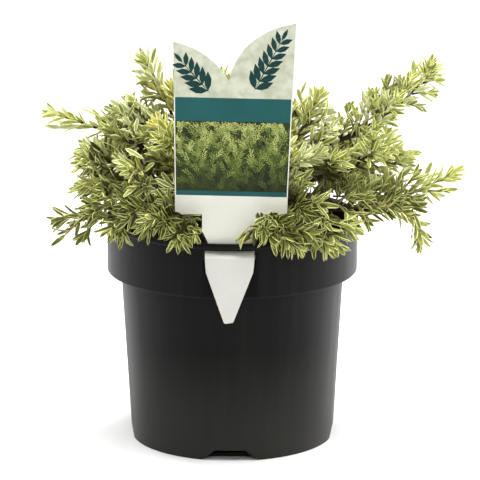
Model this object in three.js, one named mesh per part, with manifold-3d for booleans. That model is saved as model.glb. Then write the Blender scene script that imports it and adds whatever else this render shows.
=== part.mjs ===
// A variegated westringia, a low spreading shrub with narrow leaves, grown in a 140 mm nursery pot
// with a plain label threaded through a slot in the pot's collar.
// Millimetres, +Z up. The origin is the middle of the pot's underside and the label faces -Y.

import * as THREE from "three";
import { mergeVertices } from "three/addons/utils/BufferGeometryUtils.js";
import Module from "manifold-3d";

const wasm = await Module();
wasm.setup();

// Driving dimensions of the pot
const POT_HEIGHT = 125.5;
const RIM_RADIUS = 70;
const COLLAR_HEIGHT = 30.5;
const COLLAR_FOOT_RADIUS = 69.4;
const BODY_TOP_RADIUS = 61.9;
const FOOT_RADIUS = 56.4;
const WALL = 1.5;
const FLOOR_THICKNESS = 2;
const POT_SIDES = 36;
const POT_TURN = -1.2;

// Drain pockets in the foot of the wall
const POCKETS = 4;
const POCKET_FOOT_WIDTH = 28;
const POCKET_TOP_WIDTH = 16;
const POCKET_HEIGHT = 6;
const POCKET_DEPTH = 9;
const DRAIN_WIDTH = 9;
const DRAIN_HEIGHT = 3;

// Potting mix
const MIX_TOP = 112;
const MIX_EDGE_DROP = 1.5;
const CLEARANCE = 0.3;

// Label: its outline seen from the front, and the bent path of its sheet seen from the side
const LABEL_THICKNESS = 0.6;
const LABEL_TOP = 241.4;
const LABEL_LEFT_TOP = 231.9;
const LABEL_NOTCH = 211.3;
const LABEL_HEAD_FOOT = 140.5;
const LABEL_NECK_FOOT = 130.4;
const LABEL_TIP = 82;
const SLOT_TOP = POT_HEIGHT - 4.1;
const SLOT_WIDTH = 28.5;
const SLOT_HEIGHT = 5;
const TONGUE_WIDTH = 26.6;
const TONGUE_SHIFT = -1.2;
const LABEL_INSIDE_Y = -65.4;
const LABEL_OUTSIDE_Y = -71;
const LABEL_TOP_Y = -50;

// Wood
const STEM_FOOT_RADIUS = 7;
const STEM_FLARE_RADIUS = 5.6;
const STEM_RADIUS = 4.4;
const STEM_TOP_RADIUS = 3.2;
const STEM_TOP = 131;
const STEM_CROWN = 1.5;
const STEM_SIDES = 9;
const BOUGH_FOOT_RADIUS = 1.8;
const BOUGH_TIP_RADIUS = 1.1;
const SHOOT_FOOT_RADIUS = 1.4;
const SHOOT_TIP_RADIUS = 1.0;
const TWIG_FOOT_RADIUS = 0.5;
const TWIG_TIP_RADIUS = 0.45;
const TWIG_TILT = 46;
const TWIG_TURNS = [20, 140];
const TWIG_PLACES = [0.3, 0.88];
const TWIG_SHRINK = 0.35;

// Leaves: narrow, in pairs that turn a quarter at each joint of the twig
const LEAF_LENGTH = 21;
const LEAF_WIDTH = 7.4;
const LEAF_THICKNESS = 1.3;
const LEAF_WIDEST = 0.56;
const LEAF_JOINT_GAP = 10;
const LEAVES_A_JOINT = 2;
const LEAVES_A_TIP = 3;
const LEAF_TILT = 52;
const LEAF_TILT_DROP = 14;
const TIP_LEAF_PLACE = 0.97;
const TIP_LEAF_TILT = 17;
const TIP_LEAF_SIZE = 0.93;
const LEAF_SWAYS = [0, 24, -24, 45];
const BARE_STEM = 0.36;
const BARE_TWIG = 0.45;

// The space of a mass, and the detail that its solid keeps
const SPACE_MARGIN = 8;
const STEM_SHORTFALL = 18;
const FINEST_DETAIL = 0.08;
const FIRST_SEED = 1000;
const SEED_STEP = 77;

// Boughs: where each ends, by heading round the stem (0 is +X, 90 is +Y), reach and height, and
// the height where it leaves the stem
const BOUGHS = {
  right_high: { heading: 3, reach: 60, rise: 167, foot: 128 },
  back_right: { heading: 44, reach: 46, rise: 150, foot: 118 },
  back: { heading: 92, reach: 36, rise: 154, foot: 126 },
  back_left: { heading: 138, reach: 40, rise: 156, foot: 118 },
  left_high: { heading: 167, reach: 46, rise: 160, foot: 128 },
  left_mid: { heading: 194, reach: 50, rise: 146, foot: 121 },
  left_low: { heading: 211, reach: 58, rise: 131.5, foot: 115.5 },
  front_left: { heading: 242, reach: 52, rise: 134, foot: 125 },
  front: { heading: 289, reach: 50, rise: 131.5, foot: 116.5 },
  front_right: { heading: 315, reach: 48, rise: 138, foot: 127 },
  right_low: { heading: 340, reach: 64, rise: 134, foot: 116 },
  right_mid: { heading: 353, reach: 58, rise: 150, foot: 121.5 },
};

// Foliage masses: the bough each grows on and how far along it, its furthest tip by heading, reach
// and height, how wide it spreads, its side twigs and how its stem bows (up, or down below 0)
const MASSES = {
  right_hanging: { on: "right_low", at: 0.76, tip: [337.5, 113, 112], spread: 10, twigs: 2, bow: 0.5 },
  front_centre: { on: "front", at: 0.7, tip: [285.5, 82, 125], spread: 10, twigs: 2, bow: 0.4 },
  left_far: { on: "left_high", at: 1, tip: [176, 107, 181], spread: 12, twigs: 2, bow: 0.06 },
  left_upper: { on: "left_high", at: 0.86, tip: [180, 74, 181], spread: 11, twigs: 2, bow: -0.12 },
  left_crest: { on: "left_high", at: 0.6, tip: [158, 66, 182], spread: 16, twigs: 2, bow: 0.08 },
  left_behind: { on: "left_high", at: 0.64, tip: [166, 84, 160], spread: 16, twigs: 4, bow: 0.06 },
  left_side_high: { on: "left_mid", at: 1, tip: [188, 89, 166], spread: 14, twigs: 3, bow: 0.05 },
  left_side: { on: "left_mid", at: 0.68, tip: [197, 90, 147], spread: 14, twigs: 3, bow: 0.05 },
  left_face: { on: "left_mid", at: 0.65, tip: [222, 77, 164], spread: 17, twigs: 3, bow: 0.05 },
  left_low: { on: "left_low", at: 1, tip: [197, 106, 128], spread: 15, twigs: 3, bow: 0.1 },
  left_rim: { on: "left_low", at: 0.9, tip: [219, 87, 125], spread: 14, twigs: 2, bow: 0.35 },
  left_shoulder: { on: "left_low", at: 0.7, tip: [231, 80, 143], spread: 15, twigs: 3, bow: 0.15 },
  left_tall: { on: "back_left", at: 0.82, tip: [151, 56, 214], spread: 12, twigs: 2, bow: 0 },
  left_tall_inner: { on: "back_left", at: 0.58, tip: [153, 38, 194], spread: 12, twigs: 2, bow: 0 },
  back_left: { on: "back_left", at: 1, tip: [138, 94, 170], spread: 17, twigs: 3, bow: 0.1 },
  back_left_low: { on: "back_left", at: 0.5, tip: [126, 90, 136], spread: 15, twigs: 3, bow: 0.3 },
  top_centre: { on: "back", at: 0.8, tip: [106, 26, 207], spread: 15, twigs: 3, bow: 0 },
  back_high: { on: "back", at: 1, tip: [102, 78, 183], spread: 17, twigs: 3, bow: 0.08 },
  back_low: { on: "back", at: 0.48, tip: [88, 96, 139], spread: 16, twigs: 3, bow: 0.32 },
  back_right: { on: "back_right", at: 1, tip: [64, 84, 183], spread: 17, twigs: 3, bow: 0.08 },
  back_right_low: { on: "back_right", at: 0.64, tip: [62, 95, 137], spread: 16, twigs: 3, bow: 0.32 },
  back_right_far: { on: "back_right", at: 0.8, tip: [35, 104, 160], spread: 16, twigs: 3, bow: 0.1 },
  right_behind: { on: "back_right", at: 0.6, tip: [20, 90, 142], spread: 16, twigs: 3, bow: 0.15 },
  right_crest: { on: "right_high", at: 0.5, tip: [16, 47, 193], spread: 15, twigs: 3, bow: 0 },
  right_crest_low: { on: "right_high", at: 0.62, tip: [342, 60, 181], spread: 11, twigs: 2, bow: 0 },
  right_arch: { on: "right_high", at: 0.9, tip: [358, 85, 197], spread: 10, twigs: 1, bow: -0.1 },
  right_far_high: { on: "right_high", at: 1, tip: [2, 117, 210], spread: 11, twigs: 5, bow: -0.08 },
  right_mid: { on: "right_mid", at: 1, tip: [351, 95, 176], spread: 13, twigs: 3, bow: -0.04 },
  right_outer: { on: "right_mid", at: 0.82, tip: [1, 108, 163], spread: 13, twigs: 2, bow: 0.05 },
  right_heart: { on: "right_mid", at: 0.7, tip: [336, 70, 166], spread: 14, twigs: 3, bow: 0 },
  right_far: { on: "right_low", at: 1, tip: [351.5, 128, 157], spread: 13, twigs: 4, bow: -0.12 },
  right_low: { on: "right_low", at: 0.86, tip: [346, 114, 134], spread: 13, twigs: 3, bow: -0.06 },
  right_rim: { on: "right_low", at: 0.6, tip: [325, 86, 128], spread: 14, twigs: 3, bow: 0.5 },
  right_face: { on: "front_right", at: 0.5, tip: [309, 62, 172], spread: 17, twigs: 3, bow: 0 },
  right_inner: { on: "front_right", at: 0.84, tip: [322, 76, 152], spread: 15, twigs: 3, bow: 0 },
  front_right: { on: "front_right", at: 1, tip: [311, 88, 118], spread: 15, twigs: 3, bow: 0.4 },
  front_right_near: { on: "front_right", at: 0.78, tip: [299, 78, 142], spread: 15, twigs: 3, bow: 0.1 },
  front: { on: "front", at: 1, tip: [291, 88, 123], spread: 14, twigs: 3, bow: 0.3 },
  front_left: { on: "front_left", at: 1, tip: [250, 88, 122], spread: 15, twigs: 3, bow: 0.3 },
  front_left_low: { on: "front_left", at: 0.86, tip: [236, 88, 127], spread: 14, twigs: 3, bow: 0.3 },
  front_left_high: { on: "front_left", at: 0.7, tip: [238, 68, 158], spread: 16, twigs: 3, bow: 0 },
  centre_front: { on: "front", at: 0.4, tip: [300, 22, 170], spread: 17, twigs: 3, bow: 0 },
  centre_back: { on: "back_right", at: 0.4, tip: [40, 26, 180], spread: 17, twigs: 3, bow: 0 },
  left_inner: { on: "front_left", at: 0.45, tip: [212, 48, 187], spread: 16, twigs: 3, bow: 0 },
};

const UP = new THREE.Vector3(0, 0, 1);
const degrees = (angle) => THREE.MathUtils.degToRad(angle);
const mix = (from, to, share) => from + (to - from) * share;

// A repeatable stream of numbers from 0 to 1.
function seededRandom(seed) {
  let state = seed;
  return () => {
    state = (state * 16807) % 2147483647;
    return state / 2147483647;
  };
}

// A closed geometry as a solid, with its faces turned outwards.
function solidOf(geometry) {
  const bare = geometry.clone();
  bare.deleteAttribute("normal");
  bare.deleteAttribute("uv");
  const merged = mergeVertices(bare, 1e-4);
  const corners = merged.index.array;
  const kept = [];
  for (let i = 0; i < corners.length; i += 3) {
    const [a, b, c] = corners.slice(i, i + 3);
    if (a !== b && b !== c && c !== a) kept.push(a, b, c);
  }
  const position = merged.attributes.position;
  if (signedVolume(position, kept) < 0) kept.reverse();
  const vertProperties = new Float32Array(position.array);
  const triVerts = new Uint32Array(kept);
  return new wasm.Manifold(new wasm.Mesh({ numProp: 3, vertProperties, triVerts }));
}

function signedVolume(position, corners) {
  const [a, b, c] = [new THREE.Vector3(), new THREE.Vector3(), new THREE.Vector3()];
  let volume = 0;
  for (let i = 0; i < corners.length; i += 3) {
    a.fromBufferAttribute(position, corners[i]);
    b.fromBufferAttribute(position, corners[i + 1]);
    c.fromBufferAttribute(position, corners[i + 2]);
    volume += a.dot(b.cross(c)) / 6;
  }
  return volume;
}

// The largest single body of a solid, as a geometry: scraps that a cut leaves loose are dropped.
function geometryOf(solid) {
  const bodies = solid.decompose();
  bodies.sort((a, b) => b.volume() - a.volume());
  const mesh = bodies[0].getMesh();
  const geometry = new THREE.BufferGeometry();
  geometry.setAttribute("position", new THREE.BufferAttribute(new Float32Array(mesh.vertProperties), 3));
  geometry.setIndex(new THREE.BufferAttribute(new Uint32Array(mesh.triVerts), 1));
  return geometry;
}

// A profile of [radius, height] pairs, turned round the Z axis.
function turned(profile, sides = POT_SIDES) {
  const points = profile.map(([radius, height]) => new THREE.Vector2(radius, height));
  return solidOf(new THREE.LatheGeometry(points, sides).rotateX(Math.PI / 2));
}

// A point by heading, reach and height.
function polar(heading, reach, height) {
  const angle = degrees(heading);
  return new THREE.Vector3(reach * Math.cos(angle), reach * Math.sin(angle), height);
}

const materials = {
  plastic: new THREE.MeshStandardMaterial({ color: 0x2a2a28, roughness: 0.55 }),
  mix: new THREE.MeshStandardMaterial({ color: 0x2b1f17, roughness: 1 }),
  label: new THREE.MeshStandardMaterial({ color: 0xecebe6, roughness: 0.45 }),
  bark: new THREE.MeshStandardMaterial({ color: 0x4a3c2e, roughness: 0.9 }),
  foliage: new THREE.MeshStandardMaterial({ color: 0x93a05c, roughness: 0.7 }),
};

const plant = new THREE.Group();

function add(name, geometry, material) {
  const mesh = new THREE.Mesh(geometry, material);
  mesh.name = name;
  plant.add(mesh);
}

// Pot

const collarFoot = POT_HEIGHT - COLLAR_HEIGHT;

// The outer face of the pot, or a face parallel to it that lies further in.
function potProfile(inset, from, to) {
  const ledge = collarFoot + inset;
  return [
    [0, from],
    [FOOT_RADIUS - inset, from],
    [BODY_TOP_RADIUS - inset, ledge - 1.5],
    [COLLAR_FOOT_RADIUS - inset - 1, ledge],
    [COLLAR_FOOT_RADIUS - inset, ledge + 1.2],
    [RIM_RADIUS - inset, Math.min(to, POT_HEIGHT)],
    [0, to],
  ];
}

// The space of one drain pocket, grown by a margin, opening outwards along -Y.
function pocketSpace(margin) {
  const half = POCKET_FOOT_WIDTH / 2 + margin;
  const topHalf = POCKET_TOP_WIDTH / 2 + margin;
  const outline = new THREE.Shape();
  outline.moveTo(-half, -1);
  outline.lineTo(half, -1);
  outline.lineTo(half, 0);
  outline.lineTo(topHalf, POCKET_HEIGHT + margin);
  outline.lineTo(-topHalf, POCKET_HEIGHT + margin);
  outline.lineTo(-half, 0);
  const depth = POCKET_DEPTH + margin + WALL;
  const block = new THREE.ExtrudeGeometry(outline, { depth, bevelEnabled: false });
  block.rotateX(Math.PI / 2).translate(0, -FOOT_RADIUS + POCKET_DEPTH + margin, 0);
  return block;
}

function aroundPot(geometry, count) {
  const copies = [];
  for (let i = 0; i < count; i++) {
    copies.push(solidOf(geometry.clone().rotateZ((i * 2 * Math.PI) / count)));
  }
  return wasm.Manifold.union(copies);
}

function makePot() {
  const shell = turned(potProfile(0, 0, POT_HEIGHT));
  const lip = 0.6;
  const mouth = turned([
    [0, POT_HEIGHT - lip],
    [RIM_RADIUS - WALL, POT_HEIGHT - lip],
    [RIM_RADIUS - WALL + lip, POT_HEIGHT + 1],
    [0, POT_HEIGHT + 1],
  ]);
  const hollow = turned(potProfile(WALL, FLOOR_THICKNESS, POT_HEIGHT)).subtract(
    aroundPot(pocketSpace(WALL), POCKETS),
  );
  const drain = new THREE.BoxGeometry(DRAIN_WIDTH, 8, DRAIN_HEIGHT);
  drain.translate(0, -FOOT_RADIUS + POCKET_DEPTH, FLOOR_THICKNESS + DRAIN_HEIGHT / 2);
  const slot = new THREE.BoxGeometry(SLOT_WIDTH, 8, SLOT_HEIGHT);
  slot.translate(0, -RIM_RADIUS + 1, SLOT_TOP - SLOT_HEIGHT / 2);
  return shell
    .subtract(hollow)
    .subtract(mouth)
    .subtract(aroundPot(pocketSpace(0), POCKETS))
    .subtract(aroundPot(drain, POCKETS))
    .subtract(solidOf(slot))
    .rotate([0, 0, POT_TURN]);
}

function makeMix() {
  const inset = WALL + CLEARANCE;
  const profile = potProfile(inset, FLOOR_THICKNESS + CLEARANCE, POT_HEIGHT);
  const body = turned(profile).subtract(aroundPot(pocketSpace(inset), POCKETS));
  const above = turned([
    [0, MIX_TOP],
    [STEM_FOOT_RADIUS + 3, MIX_TOP],
    [RIM_RADIUS, MIX_TOP - MIX_EDGE_DROP],
    [RIM_RADIUS + 2, POT_HEIGHT + 2],
    [0, POT_HEIGHT + 2],
  ]);
  return body.subtract(above).rotate([0, 0, POT_TURN]);
}

// Label

function labelOutline() {
  const left = TONGUE_SHIFT - TONGUE_WIDTH / 2;
  const right = TONGUE_SHIFT + TONGUE_WIDTH / 2;
  const outline = new THREE.Shape();
  outline.moveTo(-3.4, LABEL_TIP);
  outline.lineTo(0.6, LABEL_TIP + 0.6);
  outline.lineTo(right - 0.8, LABEL_TIP + 28);
  outline.quadraticCurveTo(right, LABEL_TIP + 33, right, SLOT_TOP - 1);
  outline.lineTo(right - 0.4, POT_HEIGHT);
  outline.lineTo(16, LABEL_NECK_FOOT);
  outline.lineTo(16, LABEL_HEAD_FOOT);
  outline.lineTo(29.4, LABEL_HEAD_FOOT);
  outline.lineTo(34.2, LABEL_TOP);
  outline.bezierCurveTo(15, LABEL_TOP - 3, 2, LABEL_TOP - 13, -1.5, LABEL_NOTCH);
  outline.quadraticCurveTo(-12, LABEL_LEFT_TOP - 4, -31.2, LABEL_LEFT_TOP);
  outline.lineTo(-30.4, LABEL_HEAD_FOOT);
  outline.lineTo(-16, LABEL_HEAD_FOOT);
  outline.lineTo(-16, LABEL_NECK_FOOT);
  outline.lineTo(left + 0.4, POT_HEIGHT);
  outline.lineTo(left, SLOT_TOP - 1);
  outline.quadraticCurveTo(left, LABEL_TIP + 33, left + 0.6, LABEL_TIP + 28);
  outline.lineTo(-5, LABEL_TIP + 1);
  return outline;
}

function makeLabel() {
  const depth = 90;
  const cut = { depth, bevelEnabled: false, curveSegments: 6 };
  const front = new THREE.ExtrudeGeometry(labelOutline(), cut);
  front.rotateX(Math.PI / 2);
  const path = [
    [LABEL_OUTSIDE_Y - 0.5, LABEL_TIP - 2],
    [LABEL_OUTSIDE_Y, SLOT_TOP - 3],
    [LABEL_INSIDE_Y - 0.4, SLOT_TOP - 0.6],
    [LABEL_INSIDE_Y, POT_HEIGHT],
    [LABEL_TOP_Y, LABEL_TOP + 2],
  ];
  const half = LABEL_THICKNESS / 2;
  const side = new THREE.Shape();
  path.forEach(([y, z], i) => (i ? side.lineTo(y - half, z) : side.moveTo(y - half, z)));
  path.reverse().forEach(([y, z]) => side.lineTo(y + half, z));
  const width = 80;
  const sheet = new THREE.ExtrudeGeometry(side, { depth: width, bevelEnabled: false });
  sheet.rotateY(Math.PI / 2).rotateX(Math.PI / 2).translate(-width / 2, 0, 0);
  return solidOf(sheet).intersect(solidOf(front));
}

// Limbs

// Two directions square to a limb: level sideways, and up from it.
function acrossLimb(along) {
  const reference = Math.abs(along.z) > 0.95 ? new THREE.Vector3(1, 0, 0) : UP;
  const side = new THREE.Vector3().crossVectors(along, reference).normalize();
  const lift = new THREE.Vector3().crossVectors(side, along).normalize();
  return { side, lift };
}

// A tapering limb along a curve, its radius and both ends grown by a margin.
function limbSolid(limb, margin = 0) {
  const { curve, footRadius, tipRadius, sides, steps } = limb;
  const tube = new THREE.CylinderGeometry(1, 1, 1, sides, steps);
  const place = tube.attributes.position;
  const corner = new THREE.Vector3();
  for (let i = 0; i < place.count; i++) {
    corner.fromBufferAttribute(place, i);
    const share = corner.y + 0.5;
    const along = curve.getTangent(share);
    const { side, lift } = acrossLimb(along);
    const radius = mix(footRadius, tipRadius, share) + margin / Math.cos(Math.PI / sides);
    const end = share < 1e-6 ? -margin : share > 1 - 1e-6 ? margin : 0;
    const point = curve.getPoint(share).addScaledVector(along, end);
    point.addScaledVector(side, corner.x * radius).addScaledVector(lift, corner.z * radius);
    place.setXYZ(i, point.x, point.y, point.z);
  }
  return solidOf(tube);
}

// The short main stem: flared at its flat foot, then tapering to a low crown.
function makeStem(margin = 0) {
  const foot = MIX_TOP + CLEARANCE;
  const profile = [
    [0, foot - margin],
    [STEM_FOOT_RADIUS + margin, foot - margin],
    [STEM_FLARE_RADIUS + margin, mix(foot, STEM_TOP, 0.1)],
    [STEM_RADIUS + margin, mix(foot, STEM_TOP, 0.25)],
    [STEM_TOP_RADIUS + margin, STEM_TOP + margin],
    [0, STEM_TOP + STEM_CROWN + margin],
  ];
  return turned(profile, STEM_SIDES);
}

function boughLimb({ heading, reach, rise, foot }) {
  const from = polar(heading, 1, foot);
  const to = polar(heading, reach, rise);
  const elbow = polar(heading, reach * 0.42, mix(foot, rise, 0.74));
  const curve = new THREE.QuadraticBezierCurve3(from, elbow, to);
  return { curve, footRadius: BOUGH_FOOT_RADIUS, tipRadius: BOUGH_TIP_RADIUS, sides: 5, steps: 4 };
}

// Keeping each piece to its own space: everything that stands is a row of short straight rods

const standing = [];

function gapBetween(a, b, c, d) {
  const [first, second, across] = [b.clone().sub(a), d.clone().sub(c), a.clone().sub(c)];
  const [e, f, g] = [first.dot(first), second.dot(second), first.dot(second)];
  const [h, k] = [first.dot(across), second.dot(across)];
  const clamp = (value) => Math.min(1, Math.max(0, value));
  const spread = e * f - g * g;
  let s = spread > 1e-9 ? clamp((g * k - h * f) / spread) : 0;
  let t = (g * s + k) / f;
  if (t < 0 || t > 1) {
    t = clamp(t);
    s = clamp((g * t - h) / e);
  }
  return a.clone().addScaledVector(first, s).distanceTo(c.clone().addScaledVector(second, t));
}

function stand(rod) {
  rod.middle = rod.from.clone().add(rod.to).multiplyScalar(0.5);
  rod.reach = rod.from.distanceTo(rod.to) / 2 + rod.radius;
  standing.push(rod);
}

function standLimb(limb, owner, sections = 5) {
  const solid = limbSolid(limb);
  for (let i = 0; i < sections; i++) {
    const [from, to] = [limb.curve.getPoint(i / sections), limb.curve.getPoint((i + 1) / sections)];
    stand({ from, to, radius: mix(limb.footRadius, limb.tipRadius, i / sections), owner, solid });
  }
}

// True where a rod keeps clear of what other masses have grown and, where it is a leaf's, of the
// leaves on the other limbs of its own mass. Two rods that hold solids are measured by those, so
// that flat leaves can lie closer than round rods would.
function isClear(rod, owner, limb) {
  const middle = rod.from.clone().add(rod.to).multiplyScalar(0.5);
  const reach = rod.from.distanceTo(rod.to) / 2 + rod.radius + CLEARANCE;
  return standing.every((other) => {
    if (other.owner === owner && (!limb || other.limb === limb || !other.leaf)) return true;
    if (other.middle.distanceTo(middle) > other.reach + reach) return true;
    const gap = gapBetween(rod.from, rod.to, other.from, other.to) - rod.radius - other.radius;
    if (gap > CLEARANCE) return true;
    return Boolean(rod.solid && other.solid) && rod.solid.minGap(other.solid, 1) > CLEARANCE;
  });
}

// True where a solid keeps clear of the pot, the mix and the label.
function isClearOfPot(solid) {
  return fixed.every((piece) => piece.minGap(solid, 1) > CLEARANCE);
}

// Foliage

// The stem of a mass runs from its bough and ends a leaf short of the mass's furthest tip.
function massStem(mass, bough) {
  const from = bough.curve.getPoint(mass.at);
  const tip = polar(...mass.tip);
  const middle = from.clone().add(tip).multiplyScalar(0.5);
  middle.addScaledVector(UP, mass.bow * from.distanceTo(tip));
  const to = tip.clone().addScaledVector(tip.clone().sub(middle).normalize(), -STEM_SHORTFALL);
  const curve = new THREE.QuadraticBezierCurve3(from, middle, to);
  return { curve, footRadius: SHOOT_FOOT_RADIUS, tipRadius: SHOOT_TIP_RADIUS, sides: 3, steps: 3 };
}

// Side twigs leave the stem to its left and right in turn, and never straight down.
function massTwigs(mass, stem, random) {
  const twigs = [];
  for (let i = 0; i < mass.twigs; i++) {
    const share = mix(...TWIG_PLACES, (i + 0.5) / mass.twigs);
    const from = stem.curve.getPoint(share);
    const along = stem.curve.getTangent(share);
    const { side, lift } = acrossLimb(along);
    const turn = degrees(mix(...TWIG_TURNS, random())) * (i % 2 ? 1 : -1);
    const outward = side.clone().multiplyScalar(Math.sin(turn)).addScaledVector(lift, Math.cos(turn));
    const tilt = degrees(TWIG_TILT);
    const heading = along.clone().multiplyScalar(Math.cos(tilt)).addScaledVector(outward, Math.sin(tilt));
    const length = mass.spread * (1 - TWIG_SHRINK * share) * mix(0.85, 1.1, random());
    const to = from.clone().addScaledVector(heading, length);
    const curve = new THREE.LineCurve3(from, to);
    twigs.push({ curve, footRadius: TWIG_FOOT_RADIUS, tipRadius: TWIG_TIP_RADIUS, sides: 3, steps: 1 });
  }
  return twigs;
}

// Leaves along a twig: pairs at even joints, each turned a quarter from the last, and a tuft at the tip.
function leavesOn(limb, bareShare, random) {
  const leaves = [];
  const length = limb.curve.getLength();
  const joints = Math.max(1, Math.round((length * (1 - bareShare)) / LEAF_JOINT_GAP));
  let turn = random() * 360;
  const addWhorl = (share, count, tilt, size) => {
    for (let k = 0; k < count; k++) {
      leaves.push({
        share,
        turn: turn + (k * 360) / count,
        tilt: tilt + mix(-7, 7, random()),
        length: LEAF_LENGTH * size * mix(0.88, 1, random()),
      });
    }
  };
  for (let i = 0; i < joints; i++) {
    const share = mix(bareShare, 1, i / joints);
    turn += 90 + mix(-12, 12, random());
    addWhorl(share, LEAVES_A_JOINT, LEAF_TILT - LEAF_TILT_DROP * share, 1);
  }
  turn += 45;
  addWhorl(TIP_LEAF_PLACE, LEAVES_A_TIP, TIP_LEAF_TILT, TIP_LEAF_SIZE);
  return leaves;
}

// Where a narrow leaf lies: its root on the twig's middle line, its tip, and the way it faces.
function placeLeaf(limb, { share, turn, tilt, length }) {
  const root = limb.curve.getPoint(share);
  const along = limb.curve.getTangent(share);
  const { side, lift } = acrossLimb(along);
  const angle = degrees(turn);
  const outward = side.clone().multiplyScalar(Math.cos(angle)).addScaledVector(lift, Math.sin(angle));
  const lean = degrees(tilt);
  const heading = along.clone().multiplyScalar(Math.cos(lean)).addScaledVector(outward, Math.sin(lean));
  const width = new THREE.Vector3().crossVectors(along, outward).normalize();
  const face = new THREE.Vector3().crossVectors(heading, width).normalize();
  return { root, tip: root.clone().addScaledVector(heading, length), width, face };
}

// A leaf's blade, pointed at both ends: a thin four-faced solid with its midrib along the top.
function leafSolid({ root, tip, width, face }) {
  const blade = new THREE.TetrahedronGeometry(Math.sqrt(3));
  const place = blade.attributes.position;
  const corner = new THREE.Vector3();
  for (let i = 0; i < place.count; i++) {
    corner.fromBufferAttribute(place, i).round();
    const onMidrib = corner.z > 0;
    const point = root.clone().lerp(tip, onMidrib ? (corner.x + 1) / 2 : LEAF_WIDEST);
    if (!onMidrib) {
      point.addScaledVector(width, (corner.x * LEAF_WIDTH) / 2).addScaledVector(face, -LEAF_THICKNESS);
    }
    place.setXYZ(i, point.x, point.y, point.z);
  }
  return solidOf(blade);
}

// A mass keeps to its own space: a rod of its spread round its stem, up to its furthest tip.
function insideSpace(mass, stem, point) {
  const tip = polar(...mass.tip);
  const along = stem.curve.getTangent(1);
  if (point.clone().sub(tip).dot(along) > 1) return false;
  let nearest = Infinity;
  for (let i = 0; i <= 8; i++) nearest = Math.min(nearest, stem.curve.getPoint(i / 8).distanceTo(point));
  return nearest < mass.spread + SPACE_MARGIN;
}

// The plant, grown in this order: wood, the stem of every mass, their twigs, and then their leaves

const pot = makePot();
const pottingMix = makeMix();
const label = makeLabel();
const mainStem = makeStem();
const fixed = [pot, pottingMix, label, mainStem];

const limbs = {};
for (const [name, bough] of Object.entries(BOUGHS)) {
  limbs[name] = boughLimb(bough);
  standLimb(limbs[name], "bough_" + name);
}

const masses = Object.entries(MASSES).map(([name, mass], i) => {
  const stem = massStem(mass, limbs[mass.on]);
  standLimb(stem, name);
  return { name, mass, stem, random: seededRandom(FIRST_SEED + SEED_STEP * i) };
});

for (const grown of masses) {
  grown.twigs = massTwigs(grown.mass, grown.stem, grown.random).filter((twig) => {
    const rod = { from: twig.curve.getPoint(0), to: twig.curve.getPoint(1), radius: TWIG_FOOT_RADIUS };
    const clear = isClear(rod, grown.name) && isClearOfPot(limbSolid(twig));
    if (clear) standLimb(twig, grown.name, 1);
    return clear;
  });
}

for (const grown of masses) {
  const solids = [limbSolid(grown.stem), ...grown.twigs.map((twig) => limbSolid(twig))];
  for (const limb of [grown.stem, ...grown.twigs]) {
    for (const leaf of leavesOn(limb, limb === grown.stem ? BARE_STEM : BARE_TWIG, grown.random)) {
      for (const sway of LEAF_SWAYS) {
        const placed = placeLeaf(limb, { ...leaf, turn: leaf.turn + sway });
        const rod = { from: placed.root, to: placed.tip, radius: LEAF_WIDTH / 2, solid: leafSolid(placed) };
        if (!insideSpace(grown.mass, grown.stem, placed.tip)) continue;
        if (!isClear(rod, grown.name, limb) || !isClearOfPot(rod.solid)) continue;
        stand({ ...rod, owner: grown.name, limb, leaf: true });
        solids.push(rod.solid);
        break;
      }
    }
  }
  const bough = limbSolid(limbs[grown.mass.on], CLEARANCE);
  grown.solid = wasm.Manifold.union(solids).subtract(bough).simplify(FINEST_DETAIL);
}

add("pot", geometryOf(pot), materials.plastic);
add("potting_mix", geometryOf(pottingMix), materials.mix);
add("label", geometryOf(label), materials.label);
add("main_stem", geometryOf(mainStem), materials.bark);
for (const [name, limb] of Object.entries(limbs)) {
  add("bough_" + name, geometryOf(limbSolid(limb).subtract(makeStem(CLEARANCE))), materials.bark);
}
for (const { name, solid } of masses) add("foliage_" + name, geometryOf(solid), materials.foliage);

export default plant;
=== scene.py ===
# The looks of a variegated westringia in a black nursery pot with a plain push-in label.
# Everything is in metres in the model's frame: the origin is the middle of the pot's underside, +Z
# is up and the label faces -Y.

import math

import bpy
import numpy as np
from mathutils import Matrix, Vector, noise
from mathutils.bvhtree import BVHTree


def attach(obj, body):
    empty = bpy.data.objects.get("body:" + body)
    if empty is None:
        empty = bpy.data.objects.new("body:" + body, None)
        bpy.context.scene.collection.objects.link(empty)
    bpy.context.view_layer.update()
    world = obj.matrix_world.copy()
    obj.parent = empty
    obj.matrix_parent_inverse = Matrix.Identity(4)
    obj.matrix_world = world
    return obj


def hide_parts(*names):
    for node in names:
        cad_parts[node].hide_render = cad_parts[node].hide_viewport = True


MM = 0.001

# Camera, fitted to the pot's rim, collar and foot in the photograph
CAMERA_DISTANCE = 1800 * MM
CAMERA_ELEVATION = 13.8
CAMERA_LENS = 242.9
SENSOR = 36
CAMERA_TARGET = Vector((4.3, 0, 110.7)) * MM

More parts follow.
